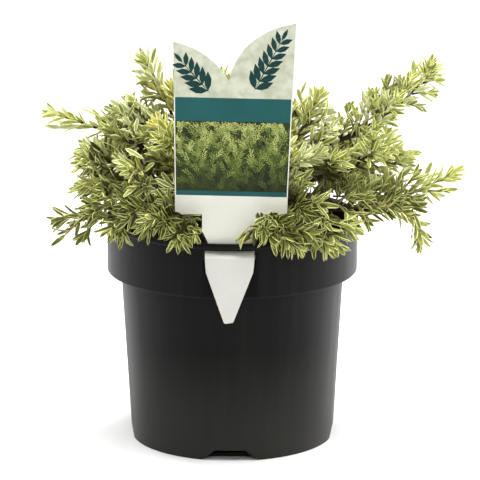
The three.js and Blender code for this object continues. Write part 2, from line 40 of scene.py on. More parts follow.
# Pot
POT_HEIGHT = 125.5 * MM
RIM_RADIUS = 70 * MM
COLLAR_FOOT = 95 * MM
COLLAR_FOOT_RADIUS = 69.4 * MM
BODY_TOP_RADIUS = 61.9 * MM
FOOT_RADIUS = 56.4 * MM
WALL = 1.5 * MM
LIP_BEAD = 0.5 * MM
FLOOR_THICKNESS = 2 * MM
POT_SIDES = 144
POT_TURN = -1.2
LABEL_FLAT_SIDES = 5
LABEL_FLAT_DEPTH = 0.5 * MM
SLOT_TOP = 121.4 * MM
SLOT_SIZE = (28.5 * MM, 10 * MM, 5 * MM)
POCKETS = 4
POCKET_SIZE = (31 * MM, 9 * MM, 6 * MM)
POCKET_TAPER = 16.5 / 31
DRAIN_SIZE = (9 * MM, 8 * MM, 3 * MM)
POT_ROUGHNESS = (0.4, 0.52)
POT_SHEEN = 0.07
POT_STREAKS = 0.03
# Painted reflection of the floor: the plastic lightens from a height down to the foot, in the streaks'
# pale grey
POT_FOOT_REFLECTION = 0.17
POT_REFLECTION_TOP = 62 * MM
DUST_AND_REFLECTION_COLOUR = (92, 91, 84)

# Potting mix
MIX_TOP = 112 * MM
MIX_RADIUS = 67.5 * MM
MIX_FRONT = -65.6 * MM
MIX_RINGS = 22
MIX_CHIPS = 620
CHIP_SIZES = ((0.8, 3.6), (0.6, 1.9), (0.3, 0.9))
CHIP_TILTS = (-28, 28)

# Label
LABEL_THICKNESS = 0.5 * MM
LABEL_TOP = 241.4 * MM
LABEL_HEAD_FOOT = 140.5 * MM
LABEL_NECK_FOOT = 131.9 * MM
LABEL_PINCH = 124.6 * MM
LABEL_WAIST = 121.8 * MM
LABEL_TIP = 82 * MM
RIGHT_LOBE = ((34.2, 241.4), (15, 238.4), (2, 228.4), (-1.5, 211.3))
LEFT_LOBE = ((-1.5, 211.3), (-12, 227.9), (-31.2, 231.9))
HEAD_FOOT_SIDES = (-30.4 * MM, 29.4 * MM)
HEAD_TOP_SIDES = (-31.3 * MM, 34.2 * MM)
NECK_HALF = 16 * MM
NECK_PINCH = 2 * MM
TONGUE_MIDDLE = -1.2 * MM
TONGUE_HALF = 13.3 * MM
TONGUE_TOP = 119.5 * MM
LABEL_ROLL = 1.3
LABEL_BORDER = 0.6 * MM
PANEL_TOP = 150.2 * MM
PICTURE_FOOT = 152.7 * MM
PICTURE_TOP = 189.7 * MM
BAND_TOP = 202.1 * MM
PRINT_LIFT = 0.03 * MM
HEAD_SLOPES = (0.009, -0.0476)
BEND_CREASES = (117, 127, 0.5)

# The picture's printed sprigs and their leaves, in degrees and metres
PICTURE_SPRIGS = 330
PICTURE_SIDES = (-29 * MM, 31 * MM)
SPRIG_HEADINGS = (-70, 50)
SPRIG_LEAVES = 11
SPRIG_STEP = 0.6 * MM
SPRIG_LEANS = (28, 55)
SPRIG_LEAF_LENGTHS = (1.6 * MM, 2.4 * MM)
SPRIG_LEAF_WIDTH = 0.6 * MM

# The sprig on each lobe: its foot in millimetres, its heading in degrees and its pairs of leaves
LOBE_SPRIGS = ((-11, 204, -42, 5), (11, 204.5, 29, 7))
PAIR_GAP = 4.9 * MM
PAIR_LENGTHS = (10.5, 7)
PAIR_LEAN = 42

# The sheet seen from the side, in millimetres: how far forward it stands at the rim and at its top
# and how high they are apart, where it stands behind the lip, the same again from below the slot
# down to the tip, and the heights between which it bends in the slot
SHEET_AT_RIM, SHEET_AT_TOP = -65.4, -50
SHEET_FROM, SHEET_RISE = 125.5, 117.9
SHEET_BEHIND_LIP = -65.5
SHEET_BELOW, SHEET_AT_TIP = -71, -71.5
SHEET_OUT, SHEET_DROP = 118.4, 36.4
SHEET_BEND = (117.6, 121.6)

# What nothing stands in front of, in millimetres: the space before the label's head above a height
# at its left and at its right, and the left of its neck, which shows more of itself higher up
VIEW_FRONT = -52
VIEW_HALF = 33
HEAD_SHOWN = (142, 146)
NECK_LEFT, NECK_FOOT = -16.3, 80
NECK_SHOWN = (1.5, 10)
NECK_WIDENS = 129

# Wood
STEM_FOOT_RADIUS = 7 * MM
STEM_FLARE_RADIUS = 5.6 * MM
STEM_RADIUS = 4.4 * MM
STEM_TOP_RADIUS = 3.2 * MM
STEM_TOP = 131 * MM
STEM_CROWN = 1.5 * MM
STEM_RIDGES = 7
STEM_SIDES = 28
TWIG_SIDES = 6
BOUGH_FOOT_RADIUS = 1.8 * MM
BOUGH_TIP_RADIUS = 1.1 * MM
BOUGH_RINGS = 60
BOUGH_ELBOW = (0.42, 0.74)
BARK_DEPTH = 0.22 * MM
RING_GAP = 0.09
STEM_RADII = (1.15 * MM, 0.5 * MM)
TWIG_RADII = (0.65 * MM, 0.4 * MM)
SHOOT_RADII = (0.45 * MM, 0.32 * MM)
BARE_RADII = (0.55 * MM, 0.25 * MM)

# Growth of a mass by the source's rule
TWIG_TILT = 46
TWIG_TURNS = (20, 140)
TWIG_PLACES = (0.3, 0.88)
TWIG_SHRINK = 0.35
TWIG_LENGTH_SHARES = (0.85, 1.1)
STEM_SHORTFALL = 18 * MM
SPACE_MARGIN = 8 * MM
FIRST_SEED = 1000
SEED_STEP = 77

# Growth carried further: stems and twigs run on, side shoots leave them, leaves stand in whorls.
# Leans and turns are in degrees, and pairs are the lowest and the highest value.
STEM_RUN_ON = 9 * MM
TWIG_RUN_ON = 6 * MM
SHOOT_LENGTHS = (8 * MM, 17 * MM)
SHOOT_SHRINK = 0.35
LAST_SHOOT = 0.92
BARE_TWIGS = 5
BARE_PLACES = (0.08, 0.36)
BARE_LENGTHS = (12 * MM, 26 * MM)
BARE_LEANS = (40, 75)
BARE_REACH = 64 * MM
SHOOT_GAP = 9.5 * MM
SHOOT_TURNS = (15, 135)
SHOOT_LEANS = (34, 52)
HEADROOM = 4 * MM
HIGH_TIP = 150
BARE_STEM = 0.26
BARE_TWIG = 0.25
BARE_SHOOT = 0.3
BARE_SINGLE = 0.45
STEM_WHORL_GAP = 4.8 * MM
TWIG_WHORL_GAP = 4.3 * MM
SHOOT_WHORL_GAP = 3.6 * MM
WHORL_LEAVES = 4
OPEN_WHORL_LEAVES = 3
STEM_LEAF_LENGTH = 14 * MM
TWIG_LEAF_LENGTH = 13 * MM
SHOOT_LEAF_LENGTH = 11.5 * MM
LEAF_WIDTH = 3.2 * MM
LEAF_THICKNESS = 0.28 * MM
LEAF_CLEARANCE = 0.8 * MM
LEAF_MARGIN = 3 * MM
LEAF_LEAN = 60
TOP_LEAF_LEAN = 36
LEAF_LENGTH_SHARES = (0.78, 1.08)
LEAF_CURLS = (-0.2, 0.1)
LEAF_TWISTS = (-0.3, 0.3)
# Masses whose tip is below this height take mostly the deep tone as painted shade, more on the left
SHADED_LOW_TIP = 144 * MM
# Masses whose tip is above this height get half the painted shade and lighter tones: partly painted light
# from above, partly young growth
HIGH_CROWN = 170 * MM
# Share of each limb, from its foot, whose leaves take the painted shade tone; halved on high masses
SHADED_SHARE = 0.55
CORE = Vector((0, 0, 118)) * MM
CORE_REACH = 36 * MM
# Leaves this near the core all take the painted shade tone
PAINTED_SHADE_REACH = CORE_REACH * 1.45
FILL_TWIGS = 3
FILL_TURNS = (60, 170)
YOUNG_REACH = 26 * MM
WHORL_CROWDING = 0.75
WHORL_WOBBLE = (-8, 8)
LEAN_WOBBLE = (-7, 7)
CORE_EDGE = (0.8, 1.25)

# The tuft at a limb's tip: where along the limb each whorl stands, its leaves (0 for as many as
# below), how far it is turned, how far its leaves lean out and their length as a share
TUFT = ((0.96, 0, 45, 30, 0.92), (1, 3, 90, 17, 0.74), (1, 2, 20, 8, 0.5))

# A leaf's outline: how far along it, and its half-width there as a share of the widest. Its top
# is folded along the middle and has a pale strip along each edge; its underside is flat.
LEAF_STATIONS = ((0.2, 0.6), (0.55, 1.0), (0.86, 0.7))
LEAF_LINES = (-1, -0.62, 0, 0.62, 1)
LEAF_UNDER_LINES = (-0.76, 0.76)
LEAF_FOLD = 0.3

# Boughs: where each ends, by heading round the stem (0 is +X, 90 is +Y), reach and height, and
# the height where it leaves the stem, in millimetres
BOUGHS = {
    "right_high": (3, 60, 167, 128),
    "back_right": (44, 46, 150, 118),
    "back": (92, 36, 154, 126),
    "back_left": (138, 40, 156, 118),
    "left_high": (167, 46, 160, 128),
    "left_mid": (194, 50, 146, 121),
    "left_low": (211, 58, 131.5, 115.5),
    "front_left": (242, 52, 134, 125),
    "front": (289, 50, 131.5, 116.5),
    "front_right": (315, 48, 138, 127),
    "right_low": (340, 64, 134, 116),
    "right_mid": (353, 58, 150, 121.5),
}

# Foliage masses: the bough each grows on and how far along it, its furthest tip by heading, reach
# and height, its spread, its side twigs and how its stem bows. They are the source's, with some
# tips moved by up to 13 mm and some bows changed, so that the finer growth makes the right outline.
MASSES = {
    "right_hanging": ("right_low", 0.76, (337.5, 110, 113), 10, 2, 0.5),
    "front_centre": ("front", 0.7, (285.5, 82, 125), 10, 2, 0.4),
    "left_far": ("left_high", 1, (176, 107, 183), 12, 2, 0.03),
    "left_upper": ("left_high", 0.86, (180, 73, 178), 11, 2, -0.12),
    "left_crest": ("left_high", 0.6, (159, 71, 184), 16, 2, 0.08),
    "left_behind": ("left_high", 0.64, (162, 84, 152), 16, 4, 0.16),
    "left_side_high": ("left_mid", 1, (188, 85.5, 169), 14, 3, 0.05),
    "left_side": ("left_mid", 0.68, (197, 90.5, 149), 14, 3, 0.05),
    "left_face": ("left_mid", 0.65, (222, 77, 164), 17, 3, 0.05),
    "left_low": ("left_low", 1, (197, 106, 128), 15, 3, 0.1),
    "left_rim": ("left_low", 0.9, (219, 87, 125), 14, 2, 0.35),
    "left_shoulder": ("left_low", 0.7, (231, 80, 143), 15, 3, 0.15),
    "left_tall": ("back_left", 0.82, (154, 58, 214), 12, 2, 0.1),
    "left_tall_inner": ("back_left", 0.58, (153, 40, 200), 12, 2, 0),
    "back_left": ("back_left", 1, (138, 92, 172), 17, 3, 0.08),
    "back_left_low": ("back_left", 0.5, (126, 90, 128), 15, 3, 0.36),
    "top_centre": ("back", 0.8, (106, 26, 204), 15, 3, 0),
    "back_high": ("back", 1, (102, 78, 183), 17, 3, 0.08),
    "back_low": ("back", 0.48, (90, 93, 130), 16, 3, 0.38),
    "back_right": ("back_right", 1, (62, 84, 175), 17, 3, 0.06),
    "back_right_low": ("back_right", 0.64, (60, 92, 129), 16, 3, 0.38),
    "back_right_far": ("back_right", 0.8, (35, 102, 157), 16, 3, 0.06),
    "right_behind": ("back_right", 0.6, (24, 88, 131), 16, 3, 0.24),
    "right_crest": ("right_high", 0.5, (11, 52, 197), 15, 3, 0),
    "right_crest_low": ("right_high", 0.62, (342, 60, 181), 11, 2, 0),
    "right_arch": ("right_high", 0.9, (358, 85, 197), 10, 1, -0.1),
    "right_far_high": ("right_high", 1, (2, 115.5, 212), 11, 5, -0.15),
    "right_mid": ("right_mid", 1, (351, 93.5, 174), 11, 3, -0.04),
    "right_outer": ("right_mid", 0.82, (1, 106, 161), 13, 2, 0.02),
    "right_heart": ("right_mid", 0.7, (336, 70, 166), 14, 3, 0),
    "right_far": ("right_low", 1, (351.5, 128, 157), 13, 4, -0.12),
    "right_low": ("right_low", 0.86, (346, 111, 138), 13, 3, -0.06),
    "right_rim": ("right_low", 0.6, (323, 84, 129), 13, 3, 0.45),
    "right_face": ("front_right", 0.5, (309, 62, 172), 17, 3, 0),
    "right_inner": ("front_right", 0.84, (322, 76, 152), 15, 3, 0),
    "front_right": ("front_right", 1, (311, 88, 118), 15, 3, 0.4),
    "front_right_near": ("front_right", 0.78, (299, 78, 142), 15, 3, 0.1),
    "front": ("front", 1, (291, 88, 123), 14, 3, 0.3),
    "front_left": ("front_left", 1, (250, 88, 125), 15, 3, 0.3),
    "front_left_low": ("front_left", 0.86, (236, 88, 131), 14, 3, 0.3),
    "front_left_high": ("front_left", 0.7, (238, 68, 158), 16, 3, 0),
    "centre_front": ("front", 0.4, (300, 22, 170), 17, 3, 0),
    "centre_back": ("back_right", 0.4, (40, 26, 180), 17, 3, 0),
    "left_inner": ("front_left", 0.45, (212, 48, 187), 16, 3, 0),
}
GOLDEN_MASSES = ("left_inner", "left_tall_inner")

# Slender open masses that stand clear of the crown: the gap between side shoots, how far from its
# stem the mass reaches, the share of the stem that is bare, how far round from the top of the stem
# the side shoots stand, how far the lowest leaves lean out, in millimetres and degrees, and the
# leaves' length as a share of the usual
OPEN_MASSES = {
    "left_far": (50, 10, 0.3, (15, 100), 42, 1),
    "left_low": (20, 11, 0.5, (15, 120), 55, 0.9),
    "left_tall": (18, 13, 0.62, (15, 120), 58, 1.05),
    "left_tall_inner": (13, 13, 0.4, (15, 120), 55, 0.9),
    "left_upper": (14, 11, 0.22, (15, 120), 55, 0.9),
    "right_arch": (6, 16, 0.02, (10, 125), 58, 0.8),
    "right_crest": (7, 11, 0.1, (15, 140), 58, 0.85),
    "right_mid": (8, 13, 0.25, (15, 140), 58, 0.85),
    "right_far_high": (8, 10, 0.2, (25, 150), 55, 0.88),
    "right_crest_low": (9, 9, 0.12, (15, 140), 55, 0.85),
    "right_outer": (9, 13, 0.25, (20, 165), 58, 0.85),
    "right_far": (12, 12, 0.25, (15, 150), 50, 0.95),
    "right_low": (9, 13, 0.05, (20, 160), 58, 0.9),
    "right_hanging": (10, 9, 0.02, (20, 140), 52, 0.85),
}

# Stems that run out level and then turn down, or up: how far their elbow stands above the tip
ELBOWS = {"right_hanging": 34, "right_arch": -24}

# Single shoots in set places: where along the mass's stem each leaves it, how far round from the
# top of the stem, its lean and its length, in degrees and millimetres. Seen from in front, minus is
# to the right on stems that point forward.
SINGLE_SHOOTS = {
    "left_low": ((0.4, 176, 46, 17), (0.52, 120, 42, 7), (0.66, 150, 40, 9)),
    "left_behind": ((0.36, -150, 64, 22), (0.5, -168, 60, 22), (0.36, 150, 64, 22), (0.52, 125, 60, 22)),
    "left_tall": ((0.9, 180, 58, 4), (0.55, 175, 45, 8), (0.42, 0, 34, 7), (0.3, 160, 52, 12)),
    "back_left": ((0.8, 0, 35, 9),),
    "right_crest": ((0.78, 180, 46, 11), (0.62, 175, 48, 13), (0.45, 170, 50, 13)),
    "right_arch": (
        (0.08, 10, 60, 10), (0.1, -15, 60, 17), (0.2, 15, 56, 13), (0.24, -5, 54, 20),
        (0.2, 170, 60, 8), (0.36, 0, 60, 17), (0.5, 0, 55, 15),
    ),
    "right_far": ((0.12, 10, 50, 15), (0.27, -15, 50, 14), (0.42, 15, 48, 9)),
    "right_far_high": (
        (0.35, 5, 58, 14), (0.5, -5, 52, 16), (0.7, 0, 50, 9), (0.66, 150, 38, 9),
        (0.85, 165, 40, 8), (1, 60, 34, 7), (1, -70, 34, 7), (1, 175, 34, 7),
    ),
    "right_mid": ((0.3, 178, 52, 15), (0.48, 172, 50, 12)),
    "right_outer": ((0.25, 170, 50, 12), (0.42, -170, 52, 12), (0.55, 5, 50, 11), (0.75, -5, 45, 9)),
    "right_behind": (
        (0.2, 0, 58, 20), (0.35, 25, 55, 22), (0.5, -20, 52, 20), (0.65, 10, 50, 18), (0.5, 50, 60, 18),
    ),
    "right_low": ((0.05, 0, 65, 18), (0.1, 0, 60, 18), (0.2, 8, 50, 16), (0.35, -12, 48, 14)),
    "front_left": (
        (0.15, 70, 50, 14), (0.3, 40, 45, 14), (0.3, 90, 45, 15), (0.6, 75, 45, 12),
        (0.1, -115, 50, 12), (0.35, -120, 50, 13), (0.6, -115, 50, 12), (0.85, -100, 45, 10),
        (0.05, -90, 50, 9), (0.2, -80, 50, 9), (0.35, -95, 50, 9), (0.5, -75, 50, 9),
    ),
    "front_centre": (
        (0.45, -95, 62, 13), (0.6, -95, 50, 13), (1, 100, 70, 15), (1, 125, 62, 14),
        (1, 60, 60, 11), (1, 92, 80, 13), (1, 112, 80, 17),
    ),
}

# Low masses at the back, whose shoots lie along the rim to both sides
RIM_MASSES = ("back_left_low", "back_low", "back_right_low", "right_behind")
RIM_SHOOTS = tuple(
    (share, side * turn, lean, length)
    for side in (-1, 1)
    for share, turn, lean, length in (
        (0.4, 104, 64, 22), (0.56, 112, 58, 23), (0.7, 96, 55, 22), (0.82, 112, 48, 17),
    )
)

# Hollows in the crown, open to the front: middle and radius
HOLLOWS = (
    (Vector((44, -30, 150)) * MM, 8 * MM),
    (Vector((52, -30, 149)) * MM, 8 * MM),
    (Vector((53, -30, 138)) * MM, 8 * MM),
    (Vector((-38, -30, 150)) * MM, 7 * MM),
)
HOLLOW_BACK = 4 * MM
HOLLOW_WAY = Vector((0, -0.971, 0.239))

# Finishes: two colours from 0 to 255, the fineness of the patches and of the grain, how strong the
# patches are, the roughness, the bump and the shine
FINISHES = {
    "bark": ((66, 54, 42), (38, 30, 24), 380, 1800, 0.8, 0.85, 0.6, 0.2),
    "green_bark": ((118, 112, 62), (84, 66, 42), 200, 2000, 0.7, 0.7, 0.3, 0.3),
    "mix_dark": ((38, 28, 22), (20, 15, 12), 300, 1500, 0.8, 0.95, 0.9, 0.15),
    "mix_bark": ((92, 62, 42), (54, 36, 25), 400, 2000, 0.8, 0.9, 0.8, 0.2),
    "mix_pale": ((132, 104, 76), (92, 68, 48), 400, 2000, 0.7, 0.9, 0.7, 0.2),
    "label_white": ((210, 210, 200), (202, 202, 191), 60, 3000, 0.5, 0.4, 0.05, 0.3),
    "label_back": ((186, 186, 176), (177, 177, 166), 60, 3000, 0.5, 0.45, 0.05, 0.2),
    # Painted shade: the tongue below the slot is a darker copy of the label's white
    "label_tongue_painted_shade": ((192, 191, 184), (185, 184, 177), 60, 3000, 0.5, 0.4, 0.05, 0.2),
    "label_marble": ((188, 191, 171), (156, 160, 139), 190, 900, 0.8, 0.4, 0.05, 0.2),
    "label_teal": ((28, 80, 80), (22, 70, 71), 60, 1500, 0.5, 0.38, 0.05, 0.2),
    "label_deep": ((14, 52, 50), (10, 43, 43), 60, 1500, 0.5, 0.38, 0.05, 0.2),
    "label_shade": ((40, 50, 22), (18, 24, 12), 170, 900, 0.9, 0.4, 0.05, 0.2),
    "label_green_deep": ((56, 68, 28), (40, 50, 20), 200, 1500, 0.6, 0.4, 0.05, 0.2),
    "label_green": ((84, 98, 42), (66, 78, 32), 200, 1500, 0.6, 0.4, 0.05, 0.2),
    "label_green_pale": ((122, 134, 66), (98, 108, 50), 200, 1500, 0.6, 0.4, 0.05, 0.2),
    "label_cream": ((166, 172, 104), (138, 144, 80), 200, 1500, 0.5, 0.4, 0.05, 0.2),
}
POT_FINISH = ((3, 3, 3), (7, 7, 6), 25, 2500, 0.6, 0.4, 0.1, 0.07)

# The label's inks in the order of its face materials, and the picture's
LABEL_INKS = ("label_white", "label_marble", "label_teal", "label_shade", "label_tongue_painted_shade")
WHITE, MARBLE, TEAL, SHADE, TONGUE = range(5)
PICTURE_INKS = ("label_green_deep", "label_green", "label_green_pale", "label_cream")

# Tones of leaf: the colours of its centre, its pale edge and its underside. The rest of each finish
# goes by the part of the leaf, and its patches have the same colour, darker.
LEAF_TONES = {
    "pale": ((168, 175, 106), (241, 243, 198), (208, 211, 164)),
    "young": ((141, 148, 62), (234, 236, 160), (186, 190, 116)),
    "mature": ((96, 103, 38), (214, 217, 136), (146, 150, 84)),
    "grey": ((116, 122, 62), (222, 225, 160), (168, 172, 112)),
    # Painted shade: the deep tone, for most leaves of the low masses, more on the left
    "deep": ((64, 70, 24), (190, 194, 112), (106, 110, 52)),
    # Painted shade: the darkest tone, for the lower leaves of each limb and for all leaves near the
    # crown's core
    "painted_shade": ((45, 47, 14), (108, 109, 42), (73, 75, 29)),
    "golden": ((156, 151, 56), (236, 234, 146), (192, 188, 102)),
}
LEAF_PARTS = {
    "centre": (260, 2600, 0.55, 0.5, 0.25, 0.4),
    "edge": (260, 2600, 0.35, 0.5, 0.1, 0.4),
    "under": (260, 2600, 0.4, 0.75, 0.2, 0.2),
}
LEAF_PATCH_SHADE = 0.72

# The tone of a spray by where it stands: each tone with the chance up to which it is drawn. The dark tones
# near the core and on low masses, more on the left, are painted shade; the lighter tones of high masses
# are partly painted light and partly young growth.
SPRAY_TONES = {
    "core": (("painted_shade", 1),),
    "golden": (("golden", 0.4), ("young", 1)),
    "low_left": (("deep", 0.85), ("mature", 1)),
    "low_right": (("deep", 0.55), ("mature", 1)),
    "open_tip": (("pale", 0.35), ("young", 1)),
    "tip": (("young", 0.5), ("pale", 0.65), ("grey", 1)),
    "high": (("mature", 0.25), ("grey", 0.5), ("young", 1)),
    "inner": (("mature", 0.55), ("grey", 0.85), ("young", 1)),
}

# Soft boxes: where each stands, its size and its power
LIGHTS = {
    "top_light": ((0, -0.1, 1.7), (1.5, 1.5), 53),
    "left_light": ((-1.35, 0, 0.5), (1.2, 0.9), 7),
    "right_light": ((1.35, 0, 0.5), (1.2, 0.9), 18),
    "back_left_light": ((-0.9, 1.1, 0.6), (0.5, 1.2), 12),
    "back_right_light": ((1.1, 0.9, 0.6), (0.7, 1.2), 19),
    "front_light": ((0.1, -2.0, 1.35), (0.9, 0.9), 15),
}
LIGHTS_AIM = Vector((0, 0, 0.12))
SURROUND = 0.04
FLOOR_SIZE = 16

UP = Vector((0, 0, 1))

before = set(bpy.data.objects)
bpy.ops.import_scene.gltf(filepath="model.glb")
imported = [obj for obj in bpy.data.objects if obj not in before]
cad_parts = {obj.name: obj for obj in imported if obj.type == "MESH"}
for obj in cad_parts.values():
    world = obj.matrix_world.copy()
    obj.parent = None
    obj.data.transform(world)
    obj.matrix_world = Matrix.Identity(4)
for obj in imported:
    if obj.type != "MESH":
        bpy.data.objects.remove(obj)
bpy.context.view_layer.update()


def mix(low, high, share):
    return low + (high - low) * share


def polar(heading, reach, height):
    """A point by heading in degrees, reach and height in metres."""
    angle = math.radians(heading)
    return Vector((reach * math.cos(angle), reach * math.sin(angle), height))


def seeded(seed):
    """A repeatable stream of numbers from 0 to 1."""
    state = seed

    def draw():
        nonlocal state
        state = state * 16807 % 2147483647
        return state / 2147483647

    return draw


# Materials


def srgb(red, green, blue):
    """A colour given from 0 to 255, as the linear values that shaders take."""
    shares = (red / 255, green / 255, blue / 255)
    linear = [s / 12.92 if s <= 0.04045 else ((s + 0.055) / 1.055) ** 2.4 for s in shares]
    return (*linear, 1)


def set_inputs(node, **values):
    """Sets a shader node's inputs by name, with an underscore for each space."""
    for name, value in values.items():
        node.inputs[name.replace("_", " ")].default_value = value


def add_node(nodes, kind, **values):
    """A new shader node. A small first letter names its own setting, a capital names an input."""
    node = nodes.new(f"ShaderNode{kind}")
    for name, value in values.items():
        if name[0].islower():
            setattr(node, name, value)
        else:
            set_inputs(node, **{name: value})
    return node


def join(links, *wires):
    """Links shader nodes: each wire gives a node and its output, then a node and its input."""
    for source, output, target, entry in wires:
        links.new(source.outputs[output], target.inputs[entry])


def new_group(name, inputs, outputs):
    """An empty shader node group with named inputs and outputs."""
    group = bpy.data.node_groups.new(name, "ShaderNodeTree")
    for label, kind, value in inputs:
        socket = group.interface.new_socket(label, in_out="INPUT", socket_type=kind)
        socket.default_value = value
    for label, kind in outputs:
        group.interface.new_socket(label, in_out="OUTPUT", socket_type=kind)
    return group, group.nodes.new("NodeGroupInput"), group.nodes.new("NodeGroupOutput")


def mottle_group():
    """Two colours mixed in soft patches, with fine grain for a bump."""
    inputs = (
        ("Colour", "NodeSocketColor", (0.5, 0.5, 0.5, 1)),
        ("Patch", "NodeSocketColor", (0.2, 0.2, 0.2, 1)),
        ("Size", "NodeSocketFloat", 100),
        ("Grain", "NodeSocketFloat", 1500),
        ("Amount", "NodeSocketFloat", 0.5),
    )
    outputs = (("Colour", "NodeSocketColor"), ("Height", "NodeSocketFloat"))
    group, start, end = new_group("mottle", inputs, outputs)
    place_on_piece = add_node(group.nodes, "TexCoord")
    patches = add_node(group.nodes, "TexNoise", Detail=3)
    grain = add_node(group.nodes, "TexNoise", Detail=2)
    contrast = add_node(group.nodes, "MapRange", From_Min=0.38, From_Max=0.66)
    share = add_node(group.nodes, "Math", operation="MULTIPLY")
    blend = add_node(group.nodes, "Mix", data_type="RGBA")
    join(
        group.links,
        (place_on_piece, "Object", patches, "Vector"),
        (start, "Size", patches, "Scale"),
        (place_on_piece, "Object", grain, "Vector"),
        (start, "Grain", grain, "Scale"),
        (patches, "Fac", contrast, "Value"),
        (contrast, "Result", share, 0),
        (start, "Amount", share, 1),
        (share, "Value", blend, "Factor"),
        (start, "Colour", blend, "A"),
        (start, "Patch", blend, "B"),
        (blend, "Result", end, "Colour"),
        (grain, "Fac", end, "Height"),
    )
    return group


def streak_group():
    """Long faint marks that run up and down a wall, as moulding and handling leave."""
    inputs = (("Across", "NodeSocketFloat", 400), ("Along", "NodeSocketFloat", 12))
    group, start, end = new_group("streaks", inputs, (("Mask", "NodeSocketFloat"),))
    place_on_piece = add_node(group.nodes, "TexCoord")
    stretch = add_node(group.nodes, "CombineXYZ")
    scale = add_node(group.nodes, "VectorMath", operation="MULTIPLY")
    marks = add_node(group.nodes, "TexNoise", Scale=1, Detail=4)
    contrast = add_node(group.nodes, "MapRange", From_Min=0.45, From_Max=0.75)
    join(
        group.links,
        (start, "Across", stretch, "X"),
        (start, "Across", stretch, "Y"),
        (start, "Along", stretch, "Z"),
        (place_on_piece, "Object", scale, 0),
        (stretch, "Vector", scale, 1),
        (scale, "Vector", marks, "Vector"),
        (marks, "Fac", contrast, "Value"),
        (contrast, "Result", end, "Mask"),
    )
    return group


MOTTLE = mottle_group()
STREAKS = streak_group()


def finish(name, colour, patch, size, grain, amount, roughness, bump, shine):
    """A material of two mottled colours with a fine bump."""
    material = bpy.data.materials.new(name)
    material.use_nodes = True
    nodes = material.node_tree.nodes
    surface = nodes["Principled BSDF"]
    set_inputs(surface, Roughness=roughness, Specular_IOR_Level=shine)
    values = {"Colour": colour, "Patch": patch, "Size": size, "Grain": grain, "Amount": amount}
    mottle = add_node(nodes, "Group", node_tree=MOTTLE, **values)
    relief = add_node(nodes, "Bump", Strength=bump, Distance=0.2 * MM)
    join(
        material.node_tree.links,
        (mottle, "Colour", surface, "Base Color"),
        (mottle, "Height", relief, "Height"),
        (relief, "Normal", surface, "Normal"),
    )
    return material


def pot_plastic(name, dust_sheen_and_reflection):
    """Matte black moulded plastic. Dust lies in faint upright streaks, and the plastic lightens towards
    the foot in the same pale grey as a painted reflection of the floor.
    """
    colour, patch, *values = POT_FINISH
    material = finish(name, srgb(*colour), srgb(*patch), *values)
    nodes = material.node_tree.nodes
    surface = nodes["Principled BSDF"]
    mottle = next(node for node in nodes if node.type == "GROUP")
    set_inputs(surface, Sheen_Weight=POT_SHEEN * dust_sheen_and_reflection, Sheen_Roughness=0.5)
    streaks = add_node(nodes, "Group", node_tree=STREAKS, Across=170, Along=9)
    place_on_pot = add_node(nodes, "TexCoord")
    parts = add_node(nodes, "SeparateXYZ")
    # Painted reflection of the floor, stronger towards the foot
    low = add_node(nodes, "MapRange", From_Min=POT_REFLECTION_TOP, From_Max=0, To_Max=POT_FOOT_REFLECTION * dust_sheen_and_reflection)
    faint = add_node(nodes, "Math", operation="MULTIPLY_ADD")
    faint.inputs[1].default_value = POT_STREAKS * dust_sheen_and_reflection
    dust_and_reflection_mix = add_node(nodes, "Mix", data_type="RGBA", B=srgb(*DUST_AND_REFLECTION_COLOUR))
    rough = add_node(nodes, "MapRange", To_Min=POT_ROUGHNESS[0], To_Max=POT_ROUGHNESS[1])
    join(
        material.node_tree.links,
        (place_on_pot, "Object", parts, "Vector"),
        (parts, "Z", low, "Value"),
        (streaks, "Mask", faint, 0),
        (low, "Result", faint, 2),
        (faint, "Value", dust_and_reflection_mix, "Factor"),
        (mottle, "Colour", dust_and_reflection_mix, "A"),
        (dust_and_reflection_mix, "Result", surface, "Base Color"),
        (streaks, "Mask", rough, "Value"),
        (rough, "Result", surface, "Roughness"),
    )
    return material


def add_leaf_finishes(tone, colours):
    """The three materials of one tone of leaf: its centre, its pale edge and its underside."""
    for colour, (part, values) in zip(colours, LEAF_PARTS.items()):
        colour = srgb(*colour)
        patch = (*[value * LEAF_PATCH_SHADE for value in colour[:3]], 1)
        name = f"leaf_{tone}_{part}"
        SURFACES[name] = finish(name, colour, patch, *values)


SURFACES = {
    name: finish(name, srgb(*colour), srgb(*patch), *values)
    for name, (colour, patch, *values) in FINISHES.items()
}
SURFACES["pot_plastic"] = pot_plastic("pot_plastic", 1)
# A darker copy with neither streaks nor sheen: painted shade on the flat panel behind the label
SURFACES["pot_shaded_panel"] = pot_plastic("pot_shaded_panel", 0)
for tone_name, tone_colours in LEAF_TONES.items():
    add_leaf_finishes(tone_name, tone_colours)
TONE_NAMES = list(LEAF_TONES)
LEAF_FINISHES = [f"leaf_{tone}_{part}" for tone in TONE_NAMES for part in LEAF_PARTS]


# Making pieces


def deselect_all():
    bpy.ops.object.select_all(action="DESELECT")


def make_active(piece):
    deselect_all()
    piece.select_set(True)
    bpy.context.view_layer.objects.active = piece


def smooth(piece, angle=35):
    make_active(piece)
    bpy.ops.object.shade_smooth_by_angle(angle=math.radians(angle))


def apply(piece, kind, **settings):
    """Adds one modifier with its settings and applies it."""
    change = piece.modifiers.new(kind.lower(), kind)
    for name, value in settings.items():
        setattr(change, name, value)
    make_active(piece)
    bpy.ops.object.modifier_apply(modifier=change.name)


def cut(piece, cutter):
    apply(piece, "BOOLEAN", operation="DIFFERENCE", object=cutter, solver="EXACT")
    bpy.data.objects.remove(cutter, do_unlink=True)


def cube(name, size, centre):
    """A block with its size and place in its mesh."""
    deselect_all()
    bpy.ops.mesh.primitive_cube_add(size=1)
    block = bpy.context.active_object
    block.name = name
    block.data.transform(Matrix.Translation(centre) @ Matrix.Diagonal((*size, 1)))
    return block


